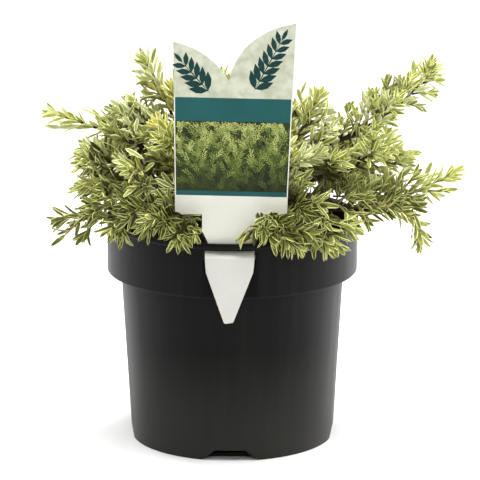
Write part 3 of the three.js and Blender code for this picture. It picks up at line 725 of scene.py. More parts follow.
def coat(piece, *names):
    """Gives a piece its finishes in order, in place of those it has."""
    piece.data.materials.clear()
    for name in names:
        piece.data.materials.append(SURFACES[name])


def face_outward(piece, merge=0):
    """Joins points that lie within a distance, if one is given, and turns all faces outward."""
    make_active(piece)
    bpy.ops.object.mode_set(mode="EDIT")
    bpy.ops.mesh.select_all(action="SELECT")
    if merge:
        bpy.ops.mesh.remove_doubles(threshold=merge)
    bpy.ops.mesh.normals_make_consistent(inside=False)
    bpy.ops.object.mode_set(mode="OBJECT")


def from_arrays(name, points, faces, slots, finishes):
    """One mesh from arrays of points, faces and each face's finish."""
    mesh = bpy.data.meshes.new(name)
    mesh.from_pydata(points, [], faces)
    piece = bpy.data.objects.new(name, mesh)
    coat(piece, *finishes)
    mesh.polygons.foreach_set("material_index", slots)
    mesh.update()
    bpy.context.scene.collection.objects.link(piece)
    return piece


def from_line(name, places, radii, closed, **settings):
    """A mesh made from a straight-sided curve through some places, with the curve's settings."""
    curve = bpy.data.curves.new(name, "CURVE")
    for setting, value in settings.items():
        setattr(curve, setting, value)
    line = curve.splines.new("POLY")
    line.points.add(len(places) - 1)
    for point, spot, radius in zip(line.points, places, radii):
        point.co = (*spot, 1)
        point.radius = radius
    line.use_cyclic_u = closed
    piece = bpy.data.objects.new(name, curve)
    bpy.context.scene.collection.objects.link(piece)
    make_active(piece)
    bpy.ops.object.convert(target="MESH")
    return bpy.context.view_layer.objects.active


def place(piece, slot, *nodes):
    """The piece rides with the plant and stands for CAD nodes. Its slot is not used."""
    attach(piece, "root")
    if nodes:
        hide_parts(*nodes)


# Pot


def pot_rings():
    """The wall's section as radius and height: up the outside, over the lip and down the inside.
    Each row gives a radius and height and, in millimetres, how far out and up from them it lies."""
    body, ledge, lip = BODY_TOP_RADIUS, COLLAR_FOOT, POT_HEIGHT
    collar, under_lip = COLLAR_FOOT_RADIUS, RIM_RADIUS - LIP_BEAD
    rows = (
        (FOOT_RADIUS, -2.4, 0, 0),
        (FOOT_RADIUS, -0.5, 0, 0),
        (FOOT_RADIUS, -0.12, 0, 0.15),
        (FOOT_RADIUS, 0, 0, 0.6),
        (mix(FOOT_RADIUS, body, 0.5), 0, ledge / 2, 0),
        (body, -0.2, ledge, -3),
        (body, 0.1, ledge, -1.3),
        (body, 1, ledge, -0.3),
        (body, 2, ledge, 0),
        (collar, -0.9, ledge, 0),
        (collar, -0.3, ledge, 0.15),
        (collar, -0.05, ledge, 0.5),
        (collar, 0, ledge, 1.1),
        (under_lip, -0.05, SLOT_TOP, -0.4),
        (under_lip, 0, SLOT_TOP, 0.1),
        (under_lip, 0, lip, -3.2),
        (RIM_RADIUS, -0.1, lip, -2.8),
        (RIM_RADIUS, 0, lip, -2.2),
        (RIM_RADIUS, 0, lip, -0.8),
        (RIM_RADIUS, -0.25, lip, -0.2),
        (RIM_RADIUS, -0.8, lip, 0),
        (RIM_RADIUS - WALL, 0, lip, -0.2),
        (RIM_RADIUS - WALL, -0.3, lip, -0.8),
        (RIM_RADIUS - WALL, -0.35, SLOT_TOP, 1.3),
        (RIM_RADIUS - WALL, -0.4, SLOT_TOP, 0.8),
        (collar - WALL, 0, ledge + WALL, 2),
        (collar - WALL, -1.2, ledge + WALL, 0),
        (body - WALL, 1, ledge + WALL, -0.4),
        (body - WALL, 0, ledge, -1.5),
        (FOOT_RADIUS - WALL, 0, FLOOR_THICKNESS, 1),
        (FOOT_RADIUS - WALL, -1, FLOOR_THICKNESS, 0),
    )
    return [(radius + out * MM, height + up * MM) for radius, out, height, up in rows]


def turned_wall(name, rings, sides):
    """A circle drawn through all rings, its first and last closed with a flat face."""
    deselect_all()
    radius, height = rings[0]
    bpy.ops.mesh.primitive_circle_add(vertices=sides, radius=radius, location=(0, 0, height))
    wall = bpy.context.active_object
    wall.name = name
    bpy.ops.object.mode_set(mode="EDIT")
    bpy.ops.mesh.edge_face_add()
    for (radius, height), (next_radius, next_height) in zip(rings, rings[1:]):
        rise = (0, 0, next_height - height)
        bpy.ops.mesh.extrude_region_move(TRANSFORM_OT_translate={"value": rise})
        grown = next_radius / radius
        bpy.ops.transform.resize(value=(grown, grown, 1))
    bpy.ops.object.mode_set(mode="OBJECT")
    face_outward(wall)
    wall.data.transform(wall.matrix_world)
    wall.matrix_world = Matrix.Identity(4)
    return wall


def flatten_label_side(pot):
    """The collar is flat and a little sunk where the label hangs, up to the bridge over the slot, and
    there it takes a darker copy of the plastic with neither streaks nor sheen, as painted shade."""
    half_turn = LABEL_FLAT_SIDES * 2 * math.pi / POT_SIDES

    def is_front(x, y):
        return y < 0 and abs(math.atan2(x, -y)) < half_turn

    coat(pot, "pot_plastic", "pot_shaded_panel")
    for face in pot.data.polygons:
        x, y, z = face.center
        on_collar = COLLAR_FOOT < z < SLOT_TOP and math.hypot(x, y) > COLLAR_FOOT_RADIUS - 0.3 * MM
        if on_collar and is_front(x, y):
            face.material_index = 1
    for point in pot.data.vertices:
        x, y, z = point.co
        radius = math.hypot(x, y)
        top = SLOT_TOP if radius > RIM_RADIUS - WALL / 2 else SLOT_TOP + 1 * MM
        on_collar = COLLAR_FOOT - 0.1 * MM < z < top and radius > BODY_TOP_RADIUS
        if on_collar and is_front(x, y):
            point.co.y = LABEL_FLAT_DEPTH - radius * math.cos(half_turn)


def pot_cutters():
    """Blocks for the drain pockets in the foot, the drain holes behind them and the label's slot."""
    cutters = []
    width, depth, height = POCKET_SIZE
    for i in range(POCKETS):
        turn = Matrix.Rotation(i * 2 * math.pi / POCKETS, 4, "Z")
        middle = -FOOT_RADIUS + depth / 2 - 2 * MM
        pocket = cube("pocket", (width, depth + 4 * MM, height * 2), (0, middle, 0))
        for point in pocket.data.vertices:
            point.co.x *= POCKET_TAPER if point.co.z > 0 else 2 - POCKET_TAPER
        drain_place = (0, -FOOT_RADIUS + depth, FLOOR_THICKNESS + DRAIN_SIZE[2] / 2)
        drain = cube("drain", DRAIN_SIZE, drain_place)
        for cutter in (pocket, drain):
            cutter.data.transform(turn)
            cutters.append(cutter)
    slot_place = (0, -RIM_RADIUS, SLOT_TOP - SLOT_SIZE[2] / 2)
    cutters.append(cube("slot", SLOT_SIZE, slot_place))
    return cutters


def make_pot():
    pot = turned_wall("pot_shell", pot_rings(), POT_SIDES)
    flatten_label_side(pot)
    for cutter in pot_cutters():
        cut(pot, cutter)
    pot.data.transform(Matrix.Rotation(math.radians(POT_TURN), 4, "Z"))
    smooth(pot, 40)
    place(pot, "pot_plastic", "pot")
    return pot


# Potting mix


def mix_height(x, y):
    """The uneven top of the mix: low at the wall, heaped a little at the stem."""
    reach = math.hypot(x, y)
    bumps = noise.noise(Vector((x, y, 0)) * 90) * 1.4 * MM
    return MIX_TOP + bumps - 1.2 * MM * (reach / MIX_RADIUS) ** 2


def make_mix_top():
    """A round patch of grid, bumpy like loose bark."""
    deselect_all()
    bpy.ops.mesh.primitive_circle_add(vertices=96, radius=MIX_RADIUS, fill_type="NGON")
    top = bpy.context.active_object
    top.name = "mix_top"
    bpy.ops.object.mode_set(mode="EDIT")
    for _ in range(MIX_RINGS):
        bpy.ops.mesh.inset(thickness=2.9 * MM)
    bpy.ops.object.mode_set(mode="OBJECT")
    for point in top.data.vertices:
        fine = noise.noise(point.co * 420) * 0.7 * MM
        point.co.z = mix_height(point.co.x, point.co.y) + fine
        point.co.y = max(point.co.y, MIX_FRONT)
    coat(top, "mix_dark")
    smooth(top, 60)
    place(top, "potting_mix")


def make_mix_chips():
    """Chips of bark lying on the mix: irregular blocks of eight corners."""
    random = seeded(52)
    corners = [(x, y, z) for x in (-1, 1) for y in (-1, 1) for z in (-1, 1)]
    sides = [(0, 1, 3, 2), (4, 6, 7, 5), (0, 4, 5, 1), (2, 3, 7, 6), (0, 2, 6, 4), (1, 5, 7, 3)]
    points, faces, slots = [], [], []
    for _ in range(MIX_CHIPS):
        reach = MIX_RADIUS * math.sqrt(mix(0.015, 0.94, random()))
        heading = 360 * random()
        draws = (random() ** 2, random(), random())
        size = Vector([mix(*limits, draw) for limits, draw in zip(CHIP_SIZES, draws)])
        spin = Matrix.Rotation(2 * math.pi * random(), 3, "Z")
        lean = Matrix.Rotation(math.radians(mix(*CHIP_TILTS, random())), 3, "X")
        middle = polar(heading, reach, 0)
        middle.z = mix_height(middle.x, middle.y) + 0.4 * MM
        start = len(points)
        for corner in corners:
            loose = Vector([c * mix(0.6, 1.15, random()) for c in corner])
            loose = Vector([a * b for a, b in zip(loose, size)]) * MM
            points.append(middle + spin @ lean @ loose)
        faces.extend([tuple(start + k for k in side) for side in sides])
        kind = 0 if random() < 0.5 else 1 if random() < 0.8 else 2
        slots.extend([kind] * len(sides))
    chips = from_arrays("mix_chips", points, faces, slots, ("mix_dark", "mix_bark", "mix_pale"))
    apply(chips, "BEVEL", width=0.15 * MM, segments=1)
    place(chips, "potting_mix")


def make_mix():
    coat(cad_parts["potting_mix"], "mix_dark")
    make_mix_top()
    make_mix_chips()


# Label


def bezier(points, share):
    """A point of the curve that any number of control points draws."""
    points = [Vector(point) for point in points]
    while len(points) > 1:
        points = [a.lerp(b, share) for a, b in zip(points, points[1:])]
    return points[0]


def label_outline():
    """The die-cut outline as x and height, from the tip up the right side and down the left."""
    left, right = TONGUE_MIDDLE - TONGUE_HALF, TONGUE_MIDDLE + TONGUE_HALF
    head_left, head_right = HEAD_FOOT_SIDES
    shoulder, cheek = LABEL_TIP + 28 * MM, LABEL_TIP + 33 * MM
    right_cheek = [(right - 0.8 * MM, shoulder), (right, cheek), (right, LABEL_WAIST)]
    left_cheek = [(left, LABEL_WAIST), (left, cheek), (left + 0.6 * MM, shoulder)]
    outline = [(-4.4 * MM, LABEL_TIP + 0.5 * MM), (-3.4 * MM, LABEL_TIP), (0.6 * MM, LABEL_TIP + 0.6 * MM)]
    outline += [tuple(bezier(right_cheek, k / 6)) for k in range(7)]
    outline += [(right - NECK_PINCH, LABEL_PINCH), (NECK_HALF, LABEL_NECK_FOOT)]
    outline += [(NECK_HALF, LABEL_HEAD_FOOT), (head_right, LABEL_HEAD_FOOT)]
    outline += [tuple(bezier(RIGHT_LOBE, k / 20) * MM) for k in range(20)]
    outline += [tuple(bezier(LEFT_LOBE, k / 14) * MM) for k in range(15)]
    outline += [(head_left, LABEL_HEAD_FOOT), (-NECK_HALF, LABEL_HEAD_FOOT)]
    outline += [(-NECK_HALF, LABEL_NECK_FOOT), (left + NECK_PINCH, LABEL_PINCH)]
    outline += [tuple(bezier(left_cheek, k / 6)) for k in range(7)]
    return outline


def label_depth(height):
    """How the sheet runs seen from the side: down behind the rim, out of the slot, then down."""
    level = height / MM
    low, high = SHEET_BEND
    inside = mix(SHEET_AT_RIM, SHEET_AT_TOP, (level - SHEET_FROM) / SHEET_RISE)
    below = mix(SHEET_BELOW, SHEET_AT_TIP, (SHEET_OUT - level) / SHEET_DROP)
    share = min(1, max(0, (level - low) / (high - low)))
    share = share * share * (3 - 2 * share)
    behind = min(inside, SHEET_AT_TOP) if height > POT_HEIGHT else SHEET_BEHIND_LIP
    return mix(below, behind, share) * MM


def label_point(x, height, lift=0):
    """A point of the label's front face, or lifted in front of it."""
    return Vector((x, label_depth(height) - LABEL_THICKNESS / 2 - lift, height))


def label_zone(x, height):
    """Which ink covers a place of the front."""
    level = height + x * math.tan(math.radians(LABEL_ROLL))
    share = (height - LABEL_HEAD_FOOT) / (LABEL_TOP - LABEL_HEAD_FOOT)
    left, right = (mix(foot, top, share) for foot, top in zip(HEAD_FOOT_SIDES, HEAD_TOP_SIDES))
    # The tongue takes the darker copy of the white, as painted shade
    if height < TONGUE_TOP:
        return TONGUE
    if level < PANEL_TOP:
        return WHITE
    if level > BAND_TOP:
        return MARBLE
    if not left + LABEL_BORDER < x < right - LABEL_BORDER:
        return WHITE
    return SHADE if PICTURE_FOOT < level < PICTURE_TOP else TEAL


def make_label_sheet():
    """The sheet is cut from a flat outline and creased at its print lines, its sides and its bends."""
    outline = [(x, height, 0) for x, height in label_outline()]
    radii = [1] * len(outline)
    sheet = from_line("label_sheet", outline, radii, True, dimensions="2D", fill_mode="BOTH")
    roll = math.radians(LABEL_ROLL)
    level = (math.sin(roll), math.cos(roll), 0)
    left, right = HEAD_FOOT_SIDES
    creases = [((0, height, 0), level) for height in (PANEL_TOP, PICTURE_FOOT, PICTURE_TOP, BAND_TOP)]
    creases += [((0, height * MM, 0), (0, 1, 0)) for height in np.arange(*BEND_CREASES)]
    for side, slope in zip((left + LABEL_BORDER, right - LABEL_BORDER), HEAD_SLOPES):
        creases.append(((side, LABEL_HEAD_FOOT, 0), (1, slope, 0)))
    bpy.ops.object.mode_set(mode="EDIT")
    for place_of_crease, across in creases:
        bpy.ops.mesh.select_all(action="SELECT")
        bpy.ops.mesh.bisect(plane_co=place_of_crease, plane_no=across)
    bpy.ops.object.mode_set(mode="OBJECT")
    coat(sheet, *LABEL_INKS, "label_back")
    for face in sheet.data.polygons:
        face.material_index = label_zone(face.center.x, face.center.y)
    for point in sheet.data.vertices:
        x, height, _ = point.co
        point.co = label_point(x, height)
    return sheet


def make_label():
    """The sheet, its front towards -Y, thickened backwards, with its printed leaves."""
    sheet = make_label_sheet()
    face_outward(sheet)
    if sum(face.normal.y * face.area for face in sheet.data.polygons) > 0:
        sheet.data.flip_normals()
    back = len(LABEL_INKS)
    sides = {"material_offset": back, "material_offset_rim": back}
    apply(sheet, "SOLIDIFY", thickness=LABEL_THICKNESS, offset=-1, **sides)
    smooth(sheet, 30)
    place(sheet, "label_plastic", "label")
    make_label_picture()
    make_label_sprigs()


def flat_leaf(points, faces, foot, heading, length, width, lift, zone):
    """A printed leaf: a pointed oval laid on the label, if all of it lies in one zone."""
    along = Vector((math.sin(heading), math.cos(heading)))
    across = Vector((along.y, -along.x))
    shape = [(0, 0), (0.3, 0.8), (0.6, 0.9), (1, 0), (0.6, -0.9), (0.3, -0.8)]
    corners = [Vector(foot) + along * length * a + across * width / 2 * b for a, b in shape]
    if any(label_zone(*corner) != zone for corner in corners):
        return False
    start = len(points)
    points.extend(label_point(corner.x, corner.y, lift) for corner in corners)
    faces.append(tuple(range(start, start + len(shape))))
    return True


def make_label_picture():
    """The picture zone: printed sprigs of small leaves in greens and creams over deep shade."""
    random = seeded(311)
    points, faces, slots = [], [], []
    for i in range(PICTURE_SPRIGS):
        late = i / PICTURE_SPRIGS
        x = mix(*PICTURE_SIDES, random())
        height = mix(PICTURE_FOOT, PICTURE_TOP, random())
        heading = math.radians(mix(*SPRIG_HEADINGS, random()))
        high = (height - PICTURE_FOOT) / (PICTURE_TOP - PICTURE_FOOT)
        tone = min(3, int(random() * 1.7 + 1.2 * late + 3.4 * high - 0.95))
        lift = PRINT_LIFT * (1 + (i + 1) / PICTURE_SPRIGS)
        for k in range(SPRIG_LEAVES):
            step = SPRIG_STEP * k
            foot = (x + math.sin(heading) * step, height + math.cos(heading) * step)
            side = heading + math.radians(mix(*SPRIG_LEANS, random()) * (1 if k % 2 else -1))
            length = mix(*SPRIG_LEAF_LENGTHS, random())
            if flat_leaf(points, faces, foot, side, length, SPRIG_LEAF_WIDTH, lift, SHADE):
                slots.append(max(0, tone - (k < 3)))
    place(from_arrays("label_picture", points, faces, slots, PICTURE_INKS), "label_plastic")


def make_label_sprigs():
    """A plain leafy sprig in deep teal on each lobe."""
    points, faces = [], []
    for foot_x, foot_height, heading, pairs in LOBE_SPRIGS:
        angle = math.radians(heading)
        along = Vector((math.sin(angle), math.cos(angle)))
        foot = Vector((foot_x, foot_height)) * MM
        stem = PAIR_GAP * pairs
        flat_leaf(points, faces, foot, angle, stem, 0.7 * MM, PRINT_LIFT, MARBLE)
        for k in range(pairs):
            joint = foot + along * stem * (k + 0.6) / (pairs + 0.6)
            size = mix(*PAIR_LENGTHS, k / pairs) * MM
            for side in (-1, 1):
                lean = angle + side * math.radians(PAIR_LEAN)
                flat_leaf(points, faces, joint, lean, size, size * 0.4, PRINT_LIFT, MARBLE)
        tip = foot + along * stem * 0.93
        flat_leaf(points, faces, tip, angle, 7 * MM, 2.4 * MM, PRINT_LIFT, MARBLE)
    sprigs = from_arrays("label_sprigs", points, faces, [0] * len(faces), ["label_deep"])
    place(sprigs, "label_plastic")


# Wood


class Bend:
    """A curve from foot to tip, drawn towards an elbow."""

    def __init__(self, foot, elbow, tip):
        self.foot, self.elbow, self.tip = foot, elbow, tip

    def point(self, share):
        near = self.foot.lerp(self.elbow, share)
        far = self.elbow.lerp(self.tip, share)
        return near.lerp(far, share)

    def along(self, share):
        pull = (self.elbow - self.foot).lerp(self.tip - self.elbow, share)
        return pull.normalized()

    def length(self):
        places = [self.point(k / 8) for k in range(9)]
        return sum((b - a).length for a, b in zip(places, places[1:]))


def across_limb(along):
    """Two directions square to a limb: level sideways, and up from it."""
    reference = Vector((1, 0, 0)) if abs(along.z) > 0.95 else UP
    side = along.cross(reference).normalized()
    return side, side.cross(along).normalized()


def branch_off(limb, share, turn):
    """A place along a limb, its direction there, and the way out from it, turned from its top."""
    along = limb.along(share)
    side, lift = across_limb(along)
    return limb.point(share), along, side * math.sin(turn) + lift * math.cos(turn)


def lean_out(along, outward, tilt):
    """A direction that leans out of a limb's own by an angle in degrees."""
    return along * math.cos(math.radians(tilt)) + outward * math.sin(math.radians(tilt))


def bough_bend(name):
    heading, reach, rise, foot = BOUGHS[name]
    start = polar(heading, 1 * MM, foot * MM)
    end = polar(heading, reach * MM, rise * MM)
    elbow = polar(heading, reach * MM * BOUGH_ELBOW[0], mix(foot, rise, BOUGH_ELBOW[1]) * MM)
    return Bend(start, elbow, end)


def tube(bend, radii, rings, points, faces):
    """Adds a round twig with closed ends to lists of points and faces."""
    start = len(points)
    for i in range(rings + 1):
        share = i / rings
        side, lift = across_limb(bend.along(share))
        radius = mix(radii[0], radii[1], share)
        for k in range(TWIG_SIDES):
            turn = 2 * math.pi * k / TWIG_SIDES
            outward = side * math.cos(turn) + lift * math.sin(turn)
            points.append(bend.point(share) + outward * radius)
    for i in range(rings):
        for k in range(TWIG_SIDES):
            a = start + i * TWIG_SIDES + k
            b = start + i * TWIG_SIDES + (k + 1) % TWIG_SIDES
            faces.append((a, a + TWIG_SIDES, b + TWIG_SIDES, b))
    faces.append(tuple(start + k for k in range(TWIG_SIDES)))
    faces.append(tuple(start + rings * TWIG_SIDES + k for k in reversed(range(TWIG_SIDES))))


def raise_bark(bough, bend):
    """Soft lumps, fine ridges and a ring where each former whorl of leaves stood."""
    reach = (bend.tip - bend.foot).length
    outwards = [point.normal.copy() for point in bough.data.vertices]
    for point, outward in zip(bough.data.vertices, outwards):
        lumps = noise.noise(point.co * 600) + 0.6 * noise.noise(point.co * 2200)
        share = (point.co - bend.foot).length / reach
        ring = abs((share / RING_GAP) % 1 - 0.5) * 2
        point.co += outward * BARK_DEPTH * (lumps + 0.9 * max(0, 1 - ring * 7))


def make_main_stem():
    """The short stem, flared at the mix and ridged with bark."""
    foot = MIX_TOP - 1.5 * MM
    rings = [
        (STEM_FOOT_RADIUS, foot),
        (STEM_FOOT_RADIUS - 0.4 * MM, foot + 1.4 * MM),
        (STEM_FLARE_RADIUS, foot + 3.4 * MM),
        (STEM_RADIUS + 0.4 * MM, foot + 5 * MM),
        (STEM_RADIUS, foot + 6.5 * MM),
        (STEM_RADIUS - 0.3 * MM, foot + 9.5 * MM),
        (mix(STEM_RADIUS, STEM_TOP_RADIUS, 0.6), foot + 13 * MM),
        (STEM_TOP_RADIUS + 0.2 * MM, STEM_TOP - 2 * MM),
        (STEM_TOP_RADIUS, STEM_TOP),
        (STEM_TOP_RADIUS * 0.6, STEM_TOP + STEM_CROWN * 0.8),
        (STEM_TOP_RADIUS * 0.15, STEM_TOP + STEM_CROWN),
    ]
    stem = turned_wall("wood_main_stem", rings, STEM_SIDES)
    apply(stem, "SUBSURF", levels=2, render_levels=2)
    for point in stem.data.vertices:
        turn = math.atan2(point.co.y, point.co.x)
        outward = Vector((math.cos(turn), math.sin(turn), 0))
        proud = 0.35 * MM * math.sin(STEM_RIDGES * turn + point.co.z * 160)
        proud += 0.5 * MM * noise.noise(point.co * 500) + 0.25 * MM * noise.noise(point.co * 1500)
        point.co += outward * proud
    coat(stem, "bark")
    smooth(stem, 60)
    place(stem, "bark", "main_stem")


def make_bough(name):
    """A bough: a round line that thins to its tip, made a mesh, with the bark raised on it."""
    bend = bough_bend(name)
    shares = [i / BOUGH_RINGS for i in range(BOUGH_RINGS + 1)]
    places = [bend.point(share) for share in shares]
    radii = [mix(1, BOUGH_TIP_RADIUS / BOUGH_FOOT_RADIUS, share) for share in shares]
    round_line = {"dimensions": "3D", "bevel_resolution": 4, "use_fill_caps": True}
    round_line["bevel_depth"] = BOUGH_FOOT_RADIUS
    bough = from_line(f"wood_{name}", places, radii, False, **round_line)
    face_outward(bough, 0.01 * MM)
    raise_bark(bough, bend)
    coat(bough, "bark")
    smooth(bough, 60)
    place(bough, "bark", f"bough_{name}")


# Foliage


def tree_of(node):
    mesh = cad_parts[node].data
    points = [point.co.copy() for point in mesh.vertices]
    return BVHTree.FromPolygons(points, [tuple(face.vertices) for face in mesh.polygons])


POT_TREES = [tree_of(node) for node in ("pot", "label", "potting_mix")]


def is_clear(start, end):
    """True where a straight twig or leaf keeps clear of the pot, the label and the mix."""
    way = end - start
    for tree in POT_TREES:
        if tree.ray_cast(start, way.normalized(), way.length + LEAF_CLEARANCE)[0] is not None:
            return False
        for share in (0.35, 0.7, 1):
            if tree.find_nearest(start.lerp(end, share), LEAF_CLEARANCE)[0] is not None:
                return False
    return True


class Mass:
    """One mass of foliage: its stem, grown by the source's rule, and its shoots and leaves."""

    def __init__(self, name, index):
        on, at, tip, spread, twigs, bow = MASSES[name]
        self.name = name
        self.golden = name in GOLDEN_MASSES
        self.spread = spread * MM
        self.open = name in OPEN_MASSES
        crowded = (SHOOT_GAP / MM, spread + SPACE_MARGIN / MM, BARE_STEM, SHOOT_TURNS, LEAF_LEAN, 1)
        gap, reach, self.bare, self.turns, self.lean, self.leaf_share = OPEN_MASSES.get(name, crowded)
        self.gap, self.reach = gap * MM, reach * MM
        self.twigs = twigs
        self.random = seeded(FIRST_SEED + SEED_STEP * index)
        self.tip = polar(tip[0], tip[1] * MM, tip[2] * MM)
        headroom = HEADROOM if tip[2] > HIGH_TIP else self.reach
        foot = bough_bend(on).point(at)
        middle = (foot + self.tip) / 2 + UP * bow * (self.tip - foot).length
        if name in ELBOWS:
            middle = self.tip + UP * ELBOWS[name] * MM
        end = self.tip - (self.tip - middle).normalized() * STEM_SHORTFALL
        self.stem = Bend(foot, middle, end)
        self.way = [Bend(foot, middle, self.tip).point(i / 12) for i in range(13)]
        highest = max(place.z for place in self.way) if name in ELBOWS else self.tip.z
        self.ceiling = highest + headroom
        self.high = self.tip.z > HIGH_CROWN
        # High masses get half the painted shade, as painted light from above
        self.shaded = SHADED_SHARE / 2 if self.high else SHADED_SHARE
        self.limbs = []
        self.leaves = []
        self.free = False

    def sector(self):
        """Which sixth of the way round the plant the mass stands in, from +X."""
        heading = math.degrees(math.atan2(self.tip.y, self.tip.x)) % 360
        return round(heading / 60) % 6

    def holds(self, point, more=0):
        """True inside the mass's own space: a rod of its spread, up to its furthest tip."""
        if (point - self.tip).dot(self.stem.along(1)) > 1 * MM:
            return False
        nearest = min((place - point).length for place in self.way)
        return nearest < self.reach + more and point.z < self.ceiling

    def turn(self, turns, i):
        """How far round from the top something leaves a limb, to its left and right in turn."""
        return math.radians(mix(*turns, self.random())) * (1 if i % 2 else -1)

    def grow(self):
        """Grows the stem, bare twigs, side shoots, single shoots and the source's side twigs, and more
        side twigs at the back and in the middle, where nothing else fills the crown."""
        end = self.stem.tip + self.stem.along(1) * STEM_RUN_ON
        run_on = Bend(self.stem.foot, self.stem.elbow, end)
        radii = TWIG_RADII if self.name in ELBOWS else STEM_RADII
        twigs = [self.side_twig(i, self.twigs, TWIG_TURNS) for i in range(self.twigs)]
        if not self.open and (self.tip.y > 10 * MM or self.tip.xy.length < 50 * MM):
            twigs += [self.side_twig(i, FILL_TWIGS, FILL_TURNS) for i in range(FILL_TWIGS)]
        self.add_limb(run_on, radii, 10, self.bare, STEM_WHORL_GAP, STEM_LEAF_LENGTH)
        self.add_bare_twigs()
        self.add_side_shoots(run_on, self.bare)
        singles = SINGLE_SHOOTS.get(self.name, ()) + (RIM_SHOOTS if self.name in RIM_MASSES else ())
        for share, turn, lean, length in singles:
            self.add_single_shoot(share, turn, lean, length * MM)
        for twig in twigs:
            if is_clear(twig.foot, twig.tip):
                self.add_limb(twig, TWIG_RADII, 5, BARE_TWIG, TWIG_WHORL_GAP, TWIG_LEAF_LENGTH)
                self.add_side_shoots(twig, BARE_TWIG)

    def add_limb(self, limb, radii, rings, bare, gap, length):
        """A leafy limb, cut back to its furthest whorl, or left out if it can carry no leaves."""
        leafy = self.add_leaves(limb, bare, gap, length)
        if leafy:
            kept = Bend(limb.foot, limb.foot.lerp(limb.elbow, leafy), limb.point(leafy))
            self.limbs.append((kept, radii, rings))

    def add_bare_twigs(self):
        """Old side twigs near the foot have lost their leaves."""
        for i in range(BARE_TWIGS):
            share = mix(*BARE_PLACES, (i + self.random()) / BARE_TWIGS)
            foot, along, outward = branch_off(self.stem, share, 2 * math.pi * self.random())
            heading = lean_out(along, outward, mix(*BARE_LEANS, self.random()))
            tip = foot + heading * mix(*BARE_LENGTHS, self.random())
            if is_clear(foot, tip) and (tip - CORE).length < BARE_REACH:
                bend = Vector((self.random(), self.random(), self.random())) * 3 * MM
                self.limbs.append((Bend(foot, foot.lerp(tip, 0.5) + bend, tip), BARE_RADII, 4))

    def side_twig(self, i, count, turns):
        """One of the side twigs that leave the stem one after the other."""
        share = mix(*TWIG_PLACES, (i + 0.5) / count)
        foot, along, outward = branch_off(self.stem, share, self.turn(turns, i))
        length = self.spread * (1 - TWIG_SHRINK * share) * mix(*TWIG_LENGTH_SHARES, self.random())
        tip = foot + lean_out(along, outward, TWIG_TILT) * (length + TWIG_RUN_ON)
        return Bend(foot, foot.lerp(tip, 0.5) + outward * 0.08 * length, tip)

    def add_side_shoots(self, limb, bare):
        """Short leafy shoots stand in the axils, more to the sides and above than below."""
        count = round(limb.length() * (1 - bare) / self.gap)
        for i in range(count):
            share = mix(bare, LAST_SHOOT, (i + self.random()) / count)
            foot, along, outward = branch_off(limb, share, self.turn(self.turns, i))
            heading = lean_out(along, outward, mix(*SHOOT_LEANS, self.random()))
            tip = foot + heading * mix(*SHOOT_LENGTHS, self.random()) * (1 - SHOOT_SHRINK * share)
            reach = tip + heading * SHOOT_LEAF_LENGTH * 0.6
            if self.holds(reach) and is_clear(foot, reach) and (reach - CORE).length > CORE_REACH:
                shoot = Bend(foot, foot.lerp(tip, 0.5) + outward * 0.7 * MM, tip)
                self.add_limb(shoot, SHOOT_RADII, 3, BARE_SHOOT, SHOOT_WHORL_GAP, SHOOT_LEAF_LENGTH)

    def add_single_shoot(self, share, turn, lean, length):
        """A shoot in a set place, with leaves that may stand out of the mass's space."""
        foot, along, outward = branch_off(self.stem, share, math.radians(turn))
        tip = foot + lean_out(along, outward, lean) * length
        if is_clear(foot, tip):
            shoot = Bend(foot, foot.lerp(tip, 0.5) + along * 0.1 * length, tip)
            self.free = True
            self.add_limb(shoot, TWIG_RADII, 5, BARE_SINGLE, SHOOT_WHORL_GAP, SHOOT_LEAF_LENGTH)
            self.free = False

    def add_leaves(self, limb, bare, gap, length):
        """Whorls up a limb, each turned from the one below and closer to it further up, and a tuft of
        smaller leaves at its tip. The answer is the share of the limb that they reach."""
        tone = self.tone(limb.tip)
        length *= self.leaf_share
        whorls = max(1, round(limb.length() * (1 - bare) / gap))
        turn = 360 * self.random()
        leaves = OPEN_WHORL_LEAVES if self.open else WHORL_LEAVES
        rows = []
        for i in range(whorls):
            share = mix(bare, 1, (i / whorls) ** WHORL_CROWDING)
            turn += 180 / leaves + mix(*WHORL_WOBBLE, self.random())
            # Leaves low on a limb take the painted shade tone, save on open masses
            shaded = "painted_shade" if share < self.shaded and not self.open else tone
            rows.append((share, leaves, turn, mix(self.lean, TOP_LEAF_LEAN, share), length, shaded))
        for share, count, more, lean, part in TUFT:
            rows.append((share, count or leaves, turn + more, lean, length * part, tone))
        reached = [row[0] for row in rows if self.add_whorl(limb, *row)]
        return max(reached, default=0)

    def tone(self, point):
        """One tone for a whole spray: painted shade near the core; mostly the deep tone as painted shade
        on low masses, more on the left; lighter tones on high masses, partly painted light and partly
        young growth; young at the outer tips.
        """
        chance = self.random()
        if (point - CORE).length < PAINTED_SHADE_REACH:
            stand = "core"
        elif self.golden:
            stand = "golden"
        elif self.tip.z < SHADED_LOW_TIP:
            stand = "low_left" if self.tip.x < 0 else "low_right"
        elif (point - self.tip).length < YOUNG_REACH:
            stand = "open_tip" if self.open else "tip"
        else:
            stand = "high" if self.high else "inner"
        return next(tone for tone, limit in SPRAY_TONES[stand] if chance < limit)

